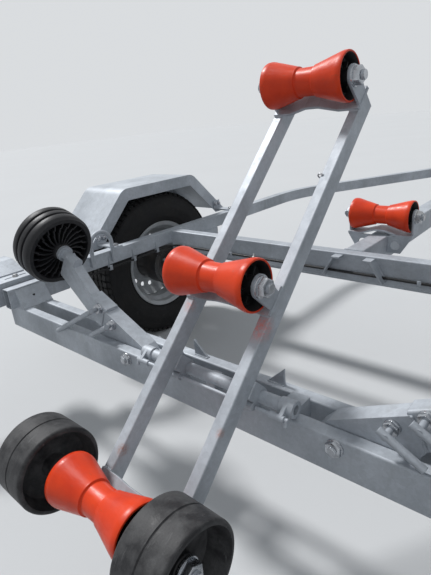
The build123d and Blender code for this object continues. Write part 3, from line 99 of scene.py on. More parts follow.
def makeCamera(view):
    data = bpy.data.cameras.new("photoCamera")
    camera = addObject("photoCamera", data)
    heading, down, roll = (math.radians(view[key]) for key in ("heading", "down", "roll"))
    forward = towards(heading, -down)
    level = Vector((math.sin(heading), -math.cos(heading), 0))
    below = forward.cross(level)
    right = math.cos(roll) * level + math.sin(roll) * below
    lower = math.cos(roll) * below - math.sin(roll) * level
    place = Matrix((right, -lower, -forward)).transposed().to_4x4()
    place.translation = (pivot.x - view["back"], -view["right"], view["height"])
    camera.matrix_world = place
    data.sensor_fit = "VERTICAL"
    data.sensor_height = view["sensor"]
    data.lens = view["focalPixels"] / view["pictureHeight"] * view["sensor"]
    data.clip_start, data.clip_end = view["near"], view["far"]
    bpy.context.scene.camera = camera


makeCamera(cameraView)
bpy.context.scene.view_settings.view_transform = "Standard"
print("camera set")


# material helpers

def addNode(tree, kind, **inputs):  # links the inputs that are sockets, and sets the others
    node = tree.nodes.new(f"ShaderNode{kind}")
    for name, value in inputs.items():
        if isinstance(value, bpy.types.NodeSocket):
            tree.links.new(value, node.inputs[name])
        else:
            node.inputs[name].default_value = value
    return node


def startMaterial(name):
    material = bpy.data.materials.new(name)
    material.use_nodes = True
    tree = material.node_tree
    tree.nodes.clear()
    shader = addNode(tree, "BsdfPrincipled")
    addNode(tree, "OutputMaterial", Surface=shader.outputs["BSDF"])
    return material, tree, shader, addNode(tree, "TexCoord").outputs["Object"]


def stretched(tree, place, scale):
    return addNode(tree, "Mapping", Scale=scale, Vector=place).outputs["Vector"]


def noise(tree, place, scale, detail=3.0, rough=0.55):
    return addNode(tree, "TexNoise", Scale=scale, Detail=detail, Roughness=rough, Vector=place).outputs["Fac"]


def crystals(tree, place, scale):  # one grey value for each cell
    cells = addNode(tree, "TexVoronoi", Scale=scale, Randomness=1.0, Vector=place)
    return addNode(tree, "SeparateColor", Color=cells.outputs["Color"]).outputs["Red"]


def ramp(tree, value, *stops):  # two stops of a position and a grey value
    node = addNode(tree, "ValToRGB", Fac=value)
    for element, (position, grey) in zip(node.color_ramp.elements, stops):
        element.position = position
        element.color = (grey, grey, grey, 1)
    return node.outputs["Color"]


def mixed(tree, factor, first, second, blend="MIX"):
    node = tree.nodes.new("ShaderNodeMix")
    node.data_type = "RGBA"
    node.blend_type = blend
    for socket, value in (("Factor", factor), ("A", first), ("B", second)):
        target = [s for s in node.inputs if s.name == socket and s.type in ("RGBA", "VALUE") and s.enabled][0]
        if isinstance(value, tuple):
            target.default_value = (*value, 1)
        elif isinstance(value, (int, float)):
            target.default_value = value
        else:
            tree.links.new(value, target)
    return [s for s in node.outputs if s.type == "RGBA" and s.enabled][0]


def bumpOf(tree, height, depth, strength, under=None):
    node = addNode(tree, "Bump", Distance=depth, Strength=strength, Height=height)
    if under:
        tree.links.new(under, node.inputs["Normal"])
    return node.outputs["Normal"]


def roundedEdge(tree, radius):  # soft highlights on edges and curved faces
    node = addNode(tree, "Bevel", Radius=radius)
    node.samples = 6
    return node.outputs["Normal"]


def feed(tree, shader, base, rough, normal):
    for socket, value in (("Base Color", base), ("Roughness", rough), ("Normal", normal)):
        tree.links.new(value, shader.inputs[socket])


# finishes

galvanisedLook = dict(
    pale=(0.58, 0.62, 0.67), dull=(0.38, 0.41, 0.45), stain=(0.28, 0.29, 0.29), stained=0.42,
    crystal=95.0, smallCrystal=256.5, cloud=5.0, grain=420.0, drip=(26.0, 26.0, 5.0), metal=0.24, edge=0.0022)
platedLook = dict(
    pale=(0.46, 0.48, 0.51), dull=(0.33, 0.34, 0.36), warm=(0.34, 0.3, 0.24), grip=(0.012, 0.012, 0.013),
    gripFace=0.079, gripRib=0.0115, cloud=34.0, tarnish=11.0, scratch=(60.0, 900.0, 60.0), metal=0.95,
    edge=0.0009)


def smear(tree, place, base, centre, reach, colour, strength):  # a rubbed patch round one point
    far = addNode(tree, "VectorMath")
    far.operation = "DISTANCE"
    tree.links.new(place, far.inputs[0])
    far.inputs[1].default_value = centre
    patch = ramp(tree, far.outputs["Value"], (reach * 0.25, strength), (reach, 0.0))
    grain = ramp(tree, noise(tree, place, 190.0, 4.0, 0.7), (0.38, 0.1), (0.62, 1.0))
    return mixed(tree, mixed(tree, 1.0, patch, grain, "MULTIPLY"), base, colour)


def galvanisedFinish(name, look, dullness=0.0, smears=()):
    material, tree, shader, place = startMaterial(name)
    spangle = crystals(tree, place, look["crystal"])
    small = crystals(tree, place, look["smallCrystal"])
    cloud = noise(tree, place, look["cloud"], 5.0, 0.6)
    drips = noise(tree, stretched(tree, place, look["drip"]), 1.0, 4.0)
    fine = noise(tree, place, look["grain"], 2.0)
    patchy = ramp(tree, cloud, (0.34 - dullness, 0.0), (0.66 - dullness, 1.0))
    base = mixed(tree, patchy, look["pale"], look["dull"])
    base = mixed(tree, 0.2, base, ramp(tree, spangle, (0.0, 0.45), (1.0, 1.0)), "MULTIPLY")
    base = mixed(tree, 0.1, base, ramp(tree, small, (0.0, 0.3), (1.0, 1.0)), "MULTIPLY")
    base = mixed(tree, ramp(tree, drips, (0.6, 0.0), (0.78, look["stained"])), base, look["stain"])
    for patch in smears:
        base = smear(tree, place, base, *patch)
    sheen = ramp(tree, spangle, (0.0, 0.44), (1.0, 0.64))
    rough = mixed(tree, 0.5, sheen, ramp(tree, cloud, (0.3, 0.48), (0.7, 0.68)))
    grain = bumpOf(tree, fine, 0.00018, 0.35, roundedEdge(tree, look["edge"]))
    feed(tree, shader, base, rough, bumpOf(tree, cloud, 0.0012, 0.35, grain))
    shader.inputs["Metallic"].default_value = look["metal"]
    return material


def clouded(tree, cloud, look):
    return mixed(tree, ramp(tree, cloud, (0.38, 0.0), (0.68, 1.0)), look["pale"], look["dull"])


def platedFinish(name, look, warmth=0.0):
    material, tree, shader, place = startMaterial(name)
    cloud = noise(tree, place, look["cloud"], 4.0)
    scratch = noise(tree, stretched(tree, place, look["scratch"]), 1.0, 2.0)
    tarnish = ramp(tree, noise(tree, place, look["tarnish"], 4.0), (0.58 - warmth, 0.0), (0.8, 0.6))
    base = mixed(tree, tarnish, clouded(tree, cloud, look), look["warm"])
    rough = ramp(tree, cloud, (0.3, 0.2), (0.7, 0.34))
    feed(tree, shader, base, rough, bumpOf(tree, scratch, 0.0002, 0.25, roundedEdge(tree, look["edge"])))
    shader.inputs["Metallic"].default_value = look["metal"]
    return material


def gripFinish(name, look):  # plated, and a black ribbed grip past the crank's arm
    material, tree, shader, place = startMaterial(name)
    past = addNode(tree, "Math")
    past.operation = "LESS_THAN"
    tree.links.new(addNode(tree, "SeparateXYZ", Vector=place).outputs["Y"], past.inputs[0])
    past.inputs[1].default_value = middleOf("winch_post").y - look["gripFace"]
    onGrip = past.outputs[0]
    ribs = addNode(tree, "TexWave", Scale=math.tau / (20 * look["gripRib"]), Vector=place)
    ribs.bands_direction = "Y"
    height = mixed(tree, onGrip, (0.0, 0.0, 0.0), ribs.outputs["Color"])
    cloud = noise(tree, place, look["cloud"], 4.0)
    base = mixed(tree, onGrip, clouded(tree, cloud, look), look["grip"])
    rough = ramp(tree, cloud, (0.3, 0.3), (0.7, 0.48))
    feed(tree, shader, base, rough, bumpOf(tree, height, 0.0016, 0.8, roundedEdge(tree, look["edge"])))
    tree.links.new(ramp(tree, onGrip, (0.0, look["metal"]), (1.0, 0.0)), shader.inputs["Metallic"])
    return material


rollerLook = dict(
    fresh=(0.8, 0.056, 0.007), worn=(0.62, 0.034, 0.006), scuff=(0.36, 0.1, 0.05),
    gloss=(0.3, 0.52), specular=0.32, cloud=16.0, scuffs=(180.0, 30.0, 180.0))


def polyurethaneFinish(name, look):
    material, tree, shader, place = startMaterial(name)
    cloud = noise(tree, place, look["cloud"], 5.0)
    scuffs = noise(tree, stretched(tree, place, look["scuffs"]), 1.0, 5.0, 0.7)
    base = mixed(tree, ramp(tree, cloud, (0.36, 0.0), (0.72, 1.0)), look["fresh"], look["worn"])
    base = mixed(tree, ramp(tree, scuffs, (0.64, 0.0), (0.74, 0.6)), base, look["scuff"])
    rough = ramp(tree, scuffs, (0.4, look["gloss"][0]), (0.7, look["gloss"][1]))
    feed(tree, shader, base, rough, bumpOf(tree, scuffs, 0.0006, 0.3))
    shader.inputs["Specular IOR Level"].default_value = look["specular"]
    return material


def rubberFinish(name, dark, dusty, dust=0.5, gloss=(0.48, 0.78), grain=0.0005, scale=26.0, specular=0.28):
    material, tree, shader, place = startMaterial(name)
    cloud = noise(tree, place, scale, 6.0, 0.65)
    scrape = noise(tree, stretched(tree, place, (38.0, 160.0, 38.0)), 1.0, 5.0, 0.7)
    speck = noise(tree, place, 330.0, 3.0)
    base = mixed(tree, ramp(tree, cloud, (0.42, 0.0), (0.74, dust)), dark, dusty)
    base = mixed(tree, ramp(tree, scrape, (0.6, 0.0), (0.72, dust)), base, dusty)
    rough = ramp(tree, cloud, (0.3, gloss[0]), (0.7, gloss[1]))
    feed(tree, shader, base, rough, bumpOf(tree, scrape, grain * 2, 0.4, bumpOf(tree, speck, grain, 0.5)))
    shader.inputs["Specular IOR Level"].default_value = specular
    return material


def paintedFinish(name, colour, worn, gloss=(0.34, 0.5), edge=0.0015):
    material, tree, shader, place = startMaterial(name)
    cloud = noise(tree, place, 20.0, 5.0)
    chips = noise(tree, place, 120.0, 4.0, 0.7)
    base = mixed(tree, ramp(tree, cloud, (0.4, 0.0), (0.75, 0.6)), colour, worn)
    base = mixed(tree, ramp(tree, chips, (0.7, 0.0), (0.74, 0.7)), base, worn)
    rough = ramp(tree, cloud, (0.3, gloss[0]), (0.7, gloss[1]))
    feed(tree, shader, base, rough, bumpOf(tree, chips, 0.0004, 0.3, roundedEdge(tree, edge)))
    return material


def lensFinish(name, colour, deep, prism=190.0, coat=0.6, coatRoughness=0.06):
    material, tree, shader, place = startMaterial(name)
    depth = addNode(tree, "TexVoronoi", Scale=prism, Randomness=0.0, Vector=place).outputs["Distance"]
    base = mixed(tree, ramp(tree, depth, (0.1, 0.0), (0.7, 1.0)), colour, deep)
    rough = ramp(tree, noise(tree, place, 40.0), (0.3, 0.08), (0.7, 0.22))
    feed(tree, shader, base, rough, bumpOf(tree, depth, 0.0006, 0.5))
    shader.inputs["Coat Weight"].default_value = coat
    shader.inputs["Coat Roughness"].default_value = coatRoughness
    return material


steel = galvanisedFinish("galvanisedSteel", galvanisedLook)
ladderSmears = (  # centre, reach, colour and strength of orange off the rollers, and of rust at two knocks
    (onLadder(0.112, -0.099, 0.082), 0.034, (0.72, 0.17, 0.13), 0.75),
    (onLadder(0.118, 0.092, 0.082), 0.02, (0.7, 0.2, 0.15), 0.45),
    (onLadder(-0.205, 0.087, 0.078), 0.016, (0.42, 0.13, 0.06), 0.7),
    (onLadder(-0.095, -0.111, 0.08), 0.012, (0.42, 0.13, 0.06), 0.6))
ladderSteel = galvanisedFinish("galvanisedLadder", galvanisedLook, smears=ladderSmears)
dullSteel = galvanisedFinish("galvanisedDull", galvanisedLook, 0.1)
plated = platedFinish("zincPlated", platedLook)
agedPlate = platedFinish("zincAged", platedLook, 0.12)
orange = polyurethaneFinish("rollerPolyurethane", rollerLook)
ladderRubber = rubberFinish("scuffedRubber", (0.022, 0.022, 0.024), (0.12, 0.12, 0.122), dust=0.75,
                            gloss=(0.4, 0.68), grain=0.0006, scale=30.0)
wheelRubber = rubberFinish("ribbedRubber", (0.012, 0.012, 0.014), (0.048, 0.049, 0.052),
                           gloss=(0.34, 0.56), grain=0.0004)
tyreRubber = rubberFinish("tyreRubber", (0.01, 0.01, 0.011), (0.05, 0.048, 0.045),
                          gloss=(0.6, 0.88), grain=0.0006, scale=14.0)
blackPlasticAndShade = rubberFinish("blackPlasticAndShade", (0.01, 0.01, 0.011), (0.036, 0.036, 0.036),
                            gloss=(0.34, 0.54), grain=0.0002, scale=40.0)
whitePlastic = rubberFinish("whitePlastic", (0.72, 0.72, 0.7), (0.5, 0.49, 0.46), dust=0.6,
                            gloss=(0.35, 0.55), grain=0.0002, scale=40.0)
blackPaint = paintedFinish("blackPaint", (0.022, 0.022, 0.024), (0.1, 0.085, 0.07))
rimPaint = paintedFinish("rimPaint", (0.56, 0.58, 0.6), (0.34, 0.34, 0.34))
crankFinish = gripFinish("crankWithGrip", platedLook)
redLens = lensFinish("redLens", (0.6, 0.012, 0.01), (0.28, 0.004, 0.004))
amberLens = lensFinish("amberLens", (0.85, 0.26, 0.02), (0.5, 0.11, 0.01))
clearLens = lensFinish("clearLens", (0.78, 0.78, 0.76), (0.5, 0.5, 0.49))
print("finishes made")


# the carried-over nodes get their finishes by the record's slots

finishOfSlot = {
    "galvanised": steel, "zinc": plated, "roller_orange": orange, "black_rubber": wheelRubber,
    "tyre": tyreRubber, "rim": rimPaint, "drum": blackPaint, "black_steel": blackPaint,
    "black_plastic": blackPlasticAndShade, "lamp_red": redLens}
finishOfNode = {
    "pivot_tube": steel, "ladder_frame": ladderSteel, "cross_member": dullSteel,
    "clamp_handle_left": dullSteel, "clamp_handle_right": dullSteel, "winch_crank": crankFinish}
for part in frame["record"]["subparts"]:
    finish = finishOfNode.get(part["node"], finishOfSlot[part["material_slot"]])
    mesh = nodes[part["node"]].data
    mesh.materials.clear()
    mesh.materials.append(finish)
print("nodes painted")


# mesh helpers

def addMesh(name, bm, finishes):
    mesh = bpy.data.meshes.new(name)
    bm.to_mesh(mesh)
    bm.free()
    for finish in finishes:
        mesh.materials.append(finish)
    return addObject(name, mesh)


def finishPiece(name, bm, body, slot, *finishes, sharp=32, replaced=()):
    bmesh.ops.recalc_face_normals(bm, faces=bm.faces)  # while each shell is still closed by itself
    bmesh.ops.remove_doubles(bm, verts=bm.verts, dist=1e-6)
    piece = addMesh(name, bm, finishes)
    piece.data.shade_smooth()
    piece.data.set_sharp_from_angle(angle=math.radians(sharp))
    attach(piece, body)
    if replaced:
        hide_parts(*replaced)


def zincPiece(name, bm, body="chassis"):
    finishPiece(name, bm, body, "zinc", plated)


def turnTo(direction):  # turns +Z to the direction
    return Vector(direction).to_track_quat("Z", "Y").to_matrix().to_4x4()


def addDisc(bm, start, end, radius, segments=24, radius2=None, finish=0):
    start, end = Vector(start), Vector(end)
    run = end - start
    place = Matrix.Translation((start + end) / 2) @ turnTo(run)
    made = bmesh.ops.create_cone(
        bm, cap_ends=True, segments=segments, radius1=radius, radius2=radius if radius2 is None else radius2,
        depth=run.length, matrix=place)
    for face in {face for vert in made["verts"] for face in vert.link_faces}:
        face.material_index = finish
    return made["verts"]


def edgesOf(verts):  # in the same order at each run
    return list(dict.fromkeys(edge for vert in verts for edge in vert.link_edges))


def softened(bm, edges, width):
    return bmesh.ops.bevel(bm, geom=edges, offset=width, offset_type="OFFSET", affect="EDGES", segments=2,
                           profile=0.5, material=-1, clamp_overlap=True)["verts"]


def addStack(bm, base, axis, steps):  # discs on one axis: start, end, radius, end radius, sides
    for start, end, radius, radius2, sides in steps:
        addDisc(bm, base + axis * start, base + axis * end, radius, sides, radius2)


def addBox(bm, centre, size, turn=Matrix.Identity(4), soften=0.0, finish=0):
    place = Matrix.Translation(centre) @ turn @ Matrix.Diagonal((*size, 1))
    made = bmesh.ops.create_cube(bm, size=1.0, matrix=place)["verts"]
    if soften:
        made = softened(bm, edgesOf(made), soften)
    for face in {face for vert in made for face in vert.link_faces}:
        face.material_index = finish
    return made


def addSpin(bm, centre, axis, outline, steps=64):  # outline: (along the axis, radius)
    axis = Vector(axis).normalized()
    out = axis.orthogonal().normalized()
    centre = Vector(centre)
    before = set(bm.verts)
    verts = [bm.verts.new(centre + axis * along + out * max(radius, 1e-7)) for along, radius in outline]
    edges = [bm.edges.new(pair) for pair in zip(verts, verts[1:] + verts[:1])]
    bmesh.ops.spin(bm, geom=verts + edges, cent=centre, axis=axis, angle=math.tau, steps=steps,
                   use_merge=True, use_duplicate=False)
    spun = [vert for vert in bm.verts if vert not in before]
    bmesh.ops.remove_doubles(bm, verts=spun, dist=1e-6)  # closes the poles


def addHexagon(bm, start, end, axis, radius, chamfer, finish=0):
    made = addDisc(bm, start, end, radius, 6, finish=finish)
    half = (end - start).length / 2
    rims = [edge for edge in edgesOf(made)
            if abs((edge.verts[0].co - edge.verts[1].co).dot(axis)) < 1e-5
            and (edge.verts[0].co - start).dot(axis) > half]
    softened(bm, rims, radius * chamfer)


def addNut(bm, base, axis, radius, height, thread, tail, finish=0, pitch=0.0018):
    # chamfered hexagon with the end of its threaded rod
    axis = Vector(axis).normalized()
    base = Vector(base)
    start = base + axis * height
    addHexagon(bm, base, start, axis, radius, 0.12, finish)
    for turn in range(int(tail / pitch)):
        low = start + axis * pitch * turn
        addDisc(bm, low, low + axis * pitch * 0.5, thread * 0.92, 20, thread, finish)
        addDisc(bm, low + axis * pitch * 0.5, low + axis * pitch, thread, 20, thread * 0.92, finish)


def addBolt(bm, base, axis, radius, height, washer, finish=0, sheet=0.0022):
    axis = Vector(axis).normalized()
    base = Vector(base)
    addDisc(bm, base, base + axis * sheet, washer, 28, washer * 0.97, finish)
    addHexagon(bm, base + axis * sheet, base + axis * (sheet + height), axis, radius, 0.14, finish)


def addWeld(bm, start, end, size=0.0032, step=0.004, uneven=0.14):  # a row of overlapping beads
    start, end = Vector(start), Vector(end)
    run = end - start
    count = max(2, int(run.length / step))
    turn = turnTo(run)
    for index in range(count):
        wobble = 1 + uneven * (random.random() - 0.5)
        centre = start + run * (index + 0.5) / count
        stretch = Matrix.Diagonal((size * wobble, size * wobble, step * 0.9, 1))
        place = Matrix.Translation(centre) @ turn @ stretch
        bmesh.ops.create_uvsphere(bm, u_segments=7, v_segments=5, radius=1.0, matrix=place)


def roundY(centre, radius, count, shift=0.0):  # points round an axis along Y
    angles = [math.tau * (index + shift) / count for index in range(count)]
    return [centre + Vector((math.cos(angle), 0, math.sin(angle))) * radius for angle in angles]


def mirrored(half):  # both halves of an outline that ends on its middle plane at 0
    return half + [(-along, radius) for along, radius in half[::-1]][1:]


def bothSides(bm):
    # the left side's shapes again on the right
    copy = bmesh.ops.duplicate(bm, geom=bm.verts[:] + bm.edges[:] + bm.faces[:])["geom"]
    verts = [item for item in copy if isinstance(item, bmesh.types.BMVert)]
    faces = [item for item in copy if isinstance(item, bmesh.types.BMFace)]
    bmesh.ops.scale(bm, vec=(1, -1, 1), verts=verts)
    bmesh.ops.reverse_faces(bm, faces=faces)


# keel rollers, spun smooth; the black insides of their hollow ends stand for a dark core and for painted
# shade deep in the cups

rollerShape = dict(
    end=0.1, outer=0.052, step=0.0343, waist=0.0302, waistHalf=0.022, cupWall=0.0045, cupDepth=0.026,
    hub=0.018, bore=0.0106, spokes=6, spoke=(0.018, 0.012, 0.003), spokeReach=0.026)


def halfRoller(s):
    end, outer, half, hub = s["end"], s["outer"], s["waistHalf"], s["hub"]
    floor, inner = end - s["cupDepth"], outer - s["cupWall"]
    return [
        (0.0, s["bore"]), (end - 0.002, s["bore"]), (end - 0.001, hub - 0.002), (end - 0.002, hub),
        (floor + 0.002, hub + 0.001), (floor, hub + 0.004), (floor, inner - 0.012),
        (floor + 0.004, inner - 0.007), (end - 0.001, inner), (end, inner + 0.001), (end, outer - 0.0018),
        (end - 0.0008, outer - 0.0006), (end - 0.0026, outer), (end - 0.01, outer),
        (end - 0.014, outer - 0.0008),
        (half + 0.004, s["step"] + 0.0004), (half + 0.001, s["step"]), (half, s["step"] - 0.001),
        (half - 0.0006, s["waist"] + 0.0012), (half - 0.002, s["waist"] + 0.0002), (0.0, s["waist"])]


def makeRoller(node, s):
    bm = bmesh.new()
    centre = middleOf(node)
    addSpin(bm, centre, (0, 1, 0), mirrored(halfRoller(s))[:-1], 80)
    hollow = s["end"] - s["cupDepth"] * 0.94
    # faces deep in the hollow ends get the black finish: a dark core, and painted shade in the cups
    for face in bm.faces:
        spot = face.calc_center_median() - centre
        inside = math.hypot(spot.x, spot.z) < s["outer"] - s["cupWall"] - 0.0004
        face.material_index = 1 if abs(spot.y) > hollow - 0.004 and inside else 0
    for side in (1, -1):  # thin black spokes of the core, deep in the cup, dark also as painted shade
        for index in range(s["spokes"]):
            turn = Matrix.Rotation(math.tau * index / s["spokes"], 4, "Y")
            spot = turn @ Vector((s["spokeReach"], side * (hollow + 0.004), 0))
            addBox(bm, centre + spot, s["spoke"], turn, 0.0006, 1)
    finishPiece(f"{node}_shell", bm, f"{node}_body", "roller_orange", orange, blackPlasticAndShade, replaced=[node])


for name in ("top", "middle", "bottom", "front", "spine"):
    makeRoller(f"roller_{name}", rollerShape)
print("keel rollers made")


# rubber wheels on the bottom roller's axle

ladderWheelShape = dict(radius=0.084, width=0.092, round=0.006, wall=0.009, cupIn=0.034, cupOut=0.046,
                        hub=0.022, bore=0.0106, hubInset=0.026)


def makeLadderWheel(side, s):
    name = f"ladder_wheel_{side}"
    low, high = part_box(name)
    outward = signOf[side]
    centre = (low + high) / 2
    face = Vector((centre.x, low.y if outward == 1 else high.y, centre.z))  # the face beside the roller
    r, w, wall, hub, mid = s["radius"], s["width"], s["wall"], s["hub"], s["width"] / 2
    cupIn, cupOut, hubOut = s["cupIn"], w - s["cupOut"], w - s["hubInset"]
    corner = [(s["round"] * (1 - math.cos(a)), r - s["round"] * (1 - math.sin(a)))
              for a in (math.radians(angle) for angle in (0, 25, 50, 70, 90))]
    outline = [(0.0, s["bore"]), (0.0, hub - 0.002), (0.002, hub), (cupIn - 0.002, hub), (cupIn, hub + 0.003),
               (cupIn, r - 0.026), (cupIn - 0.004, r - 0.019), (0.003, r - wall - 0.001), (0.0, r - wall)]
    outline += corner
    outline += [(0.012, r - 0.0001), (mid - 0.0022, r), (mid - 0.0012, r - 0.0014), (mid, r - 0.002),
                (mid + 0.0012, r - 0.0014), (mid + 0.0022, r), (w - 0.012, r - 0.0004)]
    outline += [(w - along, radius - 0.0004) for along, radius in corner[::-1]]
    outline += [(w, r - wall), (w - 0.003, r - wall - 0.001), (cupOut + 0.004, r - 0.019),
                (cupOut, r - 0.026), (cupOut, hub + 0.004), (cupOut + 0.002, hub), (hubOut - 0.002, hub),
                (hubOut, hub - 0.002), (hubOut, s["bore"])]
    bm = bmesh.new()
    addSpin(bm, face, (0, outward, 0), outline, 88)
    finishPiece(f"{name}_rubber", bm, f"{name}_body", "black_rubber", ladderRubber, sharp=34, replaced=[name])


for side in signOf:
    makeLadderWheel(side, ladderWheelShape)
print("ladder wheels made")


# ribbed wheels of the side supports

sideWheelShape = dict(
    radius=0.108, width=0.094, hub=0.024, bore=0.0101, rimIn=0.088, web=0.005, tilt=20.0,
    ribs=22, ribSteps=4, swirl=16.0, ribThick=0.0038, ribInset=0.009, ribLap=0.004)


def makeSideWheel(side, s):
    name = f"side_wheel_{side}"
    sign, tilt = signOf[side], math.radians(s["tilt"])
    axis = Vector((0, math.cos(tilt), sign * math.sin(tilt))) * sign
    face = middleOf(name) - axis * s["width"] / 2
    r, w, mid, hub, rimIn = s["radius"], s["width"], s["width"] / 2, s["hub"], s["rimIn"]
    web = mid - s["web"]
    half = [(0.0, s["bore"]), (0.0, hub - 0.002), (0.002, hub), (0.01, hub + 0.002), (web, hub + 0.006),
            (web, rimIn - 0.004), (0.008, rimIn), (0.004, rimIn + 0.001), (0.003, rimIn + 0.004),
            (0.0035, rimIn + 0.012), (0.0062, r - 0.007), (0.0105, r - 0.0028), (0.015, r - 0.001),
            (mid - 0.019, r - 0.0002), (mid - 0.0165, r - 0.0008), (mid - 0.015, r - 0.0042),
            (mid - 0.0092, r - 0.0044), (mid - 0.0078, r - 0.0006), (mid - 0.005, r), (mid, r)]
    outline = half + [(w - along, radius) for along, radius in half[::-1]][1:]
    bm = bmesh.new()
    addSpin(bm, face, axis, outline, 88)
    frameTurn = turnTo(axis)
    swirl, steps, reach = math.radians(s["swirl"]), s["ribSteps"], rimIn - hub
    size = Matrix.Diagonal((reach / steps + s["ribLap"], s["ribThick"], w - 2 * s["ribInset"], 1))
    for index in range(s["ribs"]):  # each rib is four short plates that lean into a curve
        for step in range(steps):
            share = (step + 0.5) / steps
            angle = math.tau * index / s["ribs"] + swirl * share * share
            place = Matrix.Translation(face) @ frameTurn @ Matrix.Rotation(angle, 4, "Z")
            spot = Matrix.Translation((hub + reach * share, 0, mid))
            lean = Matrix.Rotation(swirl * share, 4, "Z")
            bmesh.ops.create_cube(bm, size=1.0, matrix=place @ spot @ lean @ size)
    finishPiece(f"{name}_rubber", bm, f"{name}_body", "black_rubber", wheelRubber, sharp=30, replaced=[name])


for side in signOf:
    makeSideWheel(side, sideWheelShape)
print("side wheels made")


# road tyres with ribs, shoulder blocks and sidewall rings

tyreShape = dict(
    radius=0.322, beadHalf=0.067, beadRadius=0.1803, flangeHalf=0.074, flangeRadius=0.198, groove=0.0075,
    sidewall=((0.0785, 0.2015), (0.08, 0.206), (0.085, 0.215), (0.0862, 0.2152), (0.0868, 0.218),
              (0.0898, 0.23), (0.092, 0.246), (0.0928, 0.25), (0.0928, 0.256), (0.0915, 0.264),
              (0.0902, 0.278), (0.0894, 0.2784), (0.0884, 0.286), (0.0862, 0.296), (0.08, 0.305)),
    pitchCount=68, edgeTilt=34.0,
    rows=(  # place across, width, gap to the next block, drop, skew in degrees
        (-0.028, 0.02, 0.0035, 0.0, 14), (0.0, 0.02, 0.0035, 0.0, 14), (0.028, 0.02, 0.0035, 0.0, 14),
        (0.0565, 0.024, 0.006, 0.0, 9), (-0.0565, 0.024, 0.006, 0.0, -9),
        (0.0745, 0.014, 0.009, 0.0052, 4), (-0.0745, 0.014, 0.009, 0.0052, -4)))


def makeTyre(side, s):
    name = f"tyre_{side}"
    centre = middleOf(name)
    base = s["radius"] - s["groove"]
    half = [(s["beadHalf"], s["beadRadius"]), (s["flangeHalf"] - 0.001, s["flangeRadius"]), *s["sidewall"],
            (0.07, base - 0.002), (0.056, base), (0.0, base)]
    bm = bmesh.new()
    addSpin(bm, centre, (0, 1, 0), mirrored(half), 120)
    depth = s["groove"] + 0.004
    length = math.tau * s["radius"] / s["pitchCount"]
    for index in range(s["pitchCount"]):
        turn = Matrix.Rotation(math.tau * index / s["pitchCount"], 4, "Y")
        for offset, across, gap, drop, skew in s["rows"]:
            middle = s["radius"] - drop - depth / 2 - 0.0004
            tilt = math.copysign(math.radians(s["edgeTilt"]), offset) if drop else 0
            place = (Matrix.Translation(centre) @ turn @ Matrix.Translation((0, offset, middle))
                     @ Matrix.Rotation(tilt, 4, "X").inverted() @ Matrix.Rotation(math.radians(skew), 4, "Z")
                     @ Matrix.Diagonal((length - gap, across, depth, 1)))
            bmesh.ops.create_cube(bm, size=1.0, matrix=place)
    finishPiece(f"{name}_tread", bm, f"wheel_{side}", "tyre", tyreRubber, sharp=30, replaced=[name])


for side in signOf:
    makeTyre(side, tyreShape)
print("tyres made")


# wheel nuts, hub cap and valve on each road wheel; a nut's size is its radius, height, thread and tail

wheelTrim = dict(
    face=0.0345, bolts=5, circle=0.056, seat=((-0.002, 0.004, 0.0125, 0.01, 20),), nutRise=0.003,
    nut=(0.0105, 0.016, 0.0058, 0.004), capRise=0.038,
    cap=((-0.036, 0.0278), (-0.036, 0.03), (-0.03, 0.03), (-0.028, 0.0285), (-0.004, 0.0272),
         (0.0, 0.025), (0.004, 0.018), (0.005, 0.0), (0.0, 0.0), (-0.03, 0.0265)),
    valveRadius=0.14896, valveRise=0.042,
    valve=((-0.012, 0.012, 0.0052, 0.0042, 16), (0.01, 0.03, 0.0042, 0.0036, 16),
           (0.028, 0.036, 0.0046, 0.004, 14)))


def makeWheelTrim(side, s):
    centre = middleOf(f"tyre_{side}")
    out = Vector((0, signOf[side], 0))
    face = centre + out * s["face"]
    bm = bmesh.new()
    for spot in roundY(face, s["circle"], s["bolts"]):
        addStack(bm, spot, out, s["seat"])
        addNut(bm, spot + out * s["nutRise"], out, *s["nut"])
    addSpin(bm, face + out * s["capRise"], out, s["cap"], 40)
    zincPiece(f"wheel_nuts_{side}", bm, f"wheel_{side}")
    bm = bmesh.new()
    addStack(bm, centre + Vector((s["valveRadius"], 0, 0)) + out * s["valveRise"], out, s["valve"])
    finishPiece(f"valve_{side}", bm, f"wheel_{side}", "black_rubber", blackPlasticAndShade, sharp=35)


for side in signOf:
    makeWheelTrim(side, wheelTrim)
print("wheel trim made")


# nuts with their threads, and washers

axlePlaces = dict(top=(0.674, 0.146), middle=(0.168, 0.146), bottom=(-0.28, 0.159))
axleNuts = dict(nut=(0.0198, 0.0145, 0.0104, 0.0072), washer=0.003, washerRadius=0.0225,
                earOuter=0.109, wheelReach=0.199, sideReach=0.05, sideTilt=20.0)


def addAxleNut(bm, seat, out, s):
    washer = s["washerRadius"]
    addDisc(bm, seat - out * 0.0002, seat + out * (s["washer"] + 0.0003), washer, 36, washer * 0.975)
    addNut(bm, seat + out * s["washer"], out, *s["nut"])


def makeAxleNuts(s):
    across = Vector((0, 1, 0))
    bm = bmesh.new()
    for name, (along, rise) in axlePlaces.items():
        reach = s["wheelReach"] if name == "bottom" else s["earOuter"]
        for sign in (1, -1):
            addAxleNut(bm, onLadder(along, sign * reach, rise), across * sign, s)
    zincPiece("ladder_nuts", bm, "ladder")
    bm = bmesh.new()
    for node in ("roller_front", "roller_spine"):
        for sign in (1, -1):
            addAxleNut(bm, middleOf(node) + across * sign * s["earOuter"], across * sign, s)
    tilt = math.radians(s["sideTilt"])
    for side, sign in signOf.items():
        out = Vector((0, sign * math.cos(tilt), math.sin(tilt)))
        addAxleNut(bm, middleOf(f"side_wheel_{side}") + out * s["sideReach"], out, s)
    zincPiece("chassis_nuts", bm)


makeAxleNuts(axleNuts)

beamBolts = dict(offset=0.29, height=-0.044, rear=-0.004, front=0.102, washer=0.0175, sheet=0.0026,
                 nut=(0.0163, 0.0098, 0.0083, 0.0054))


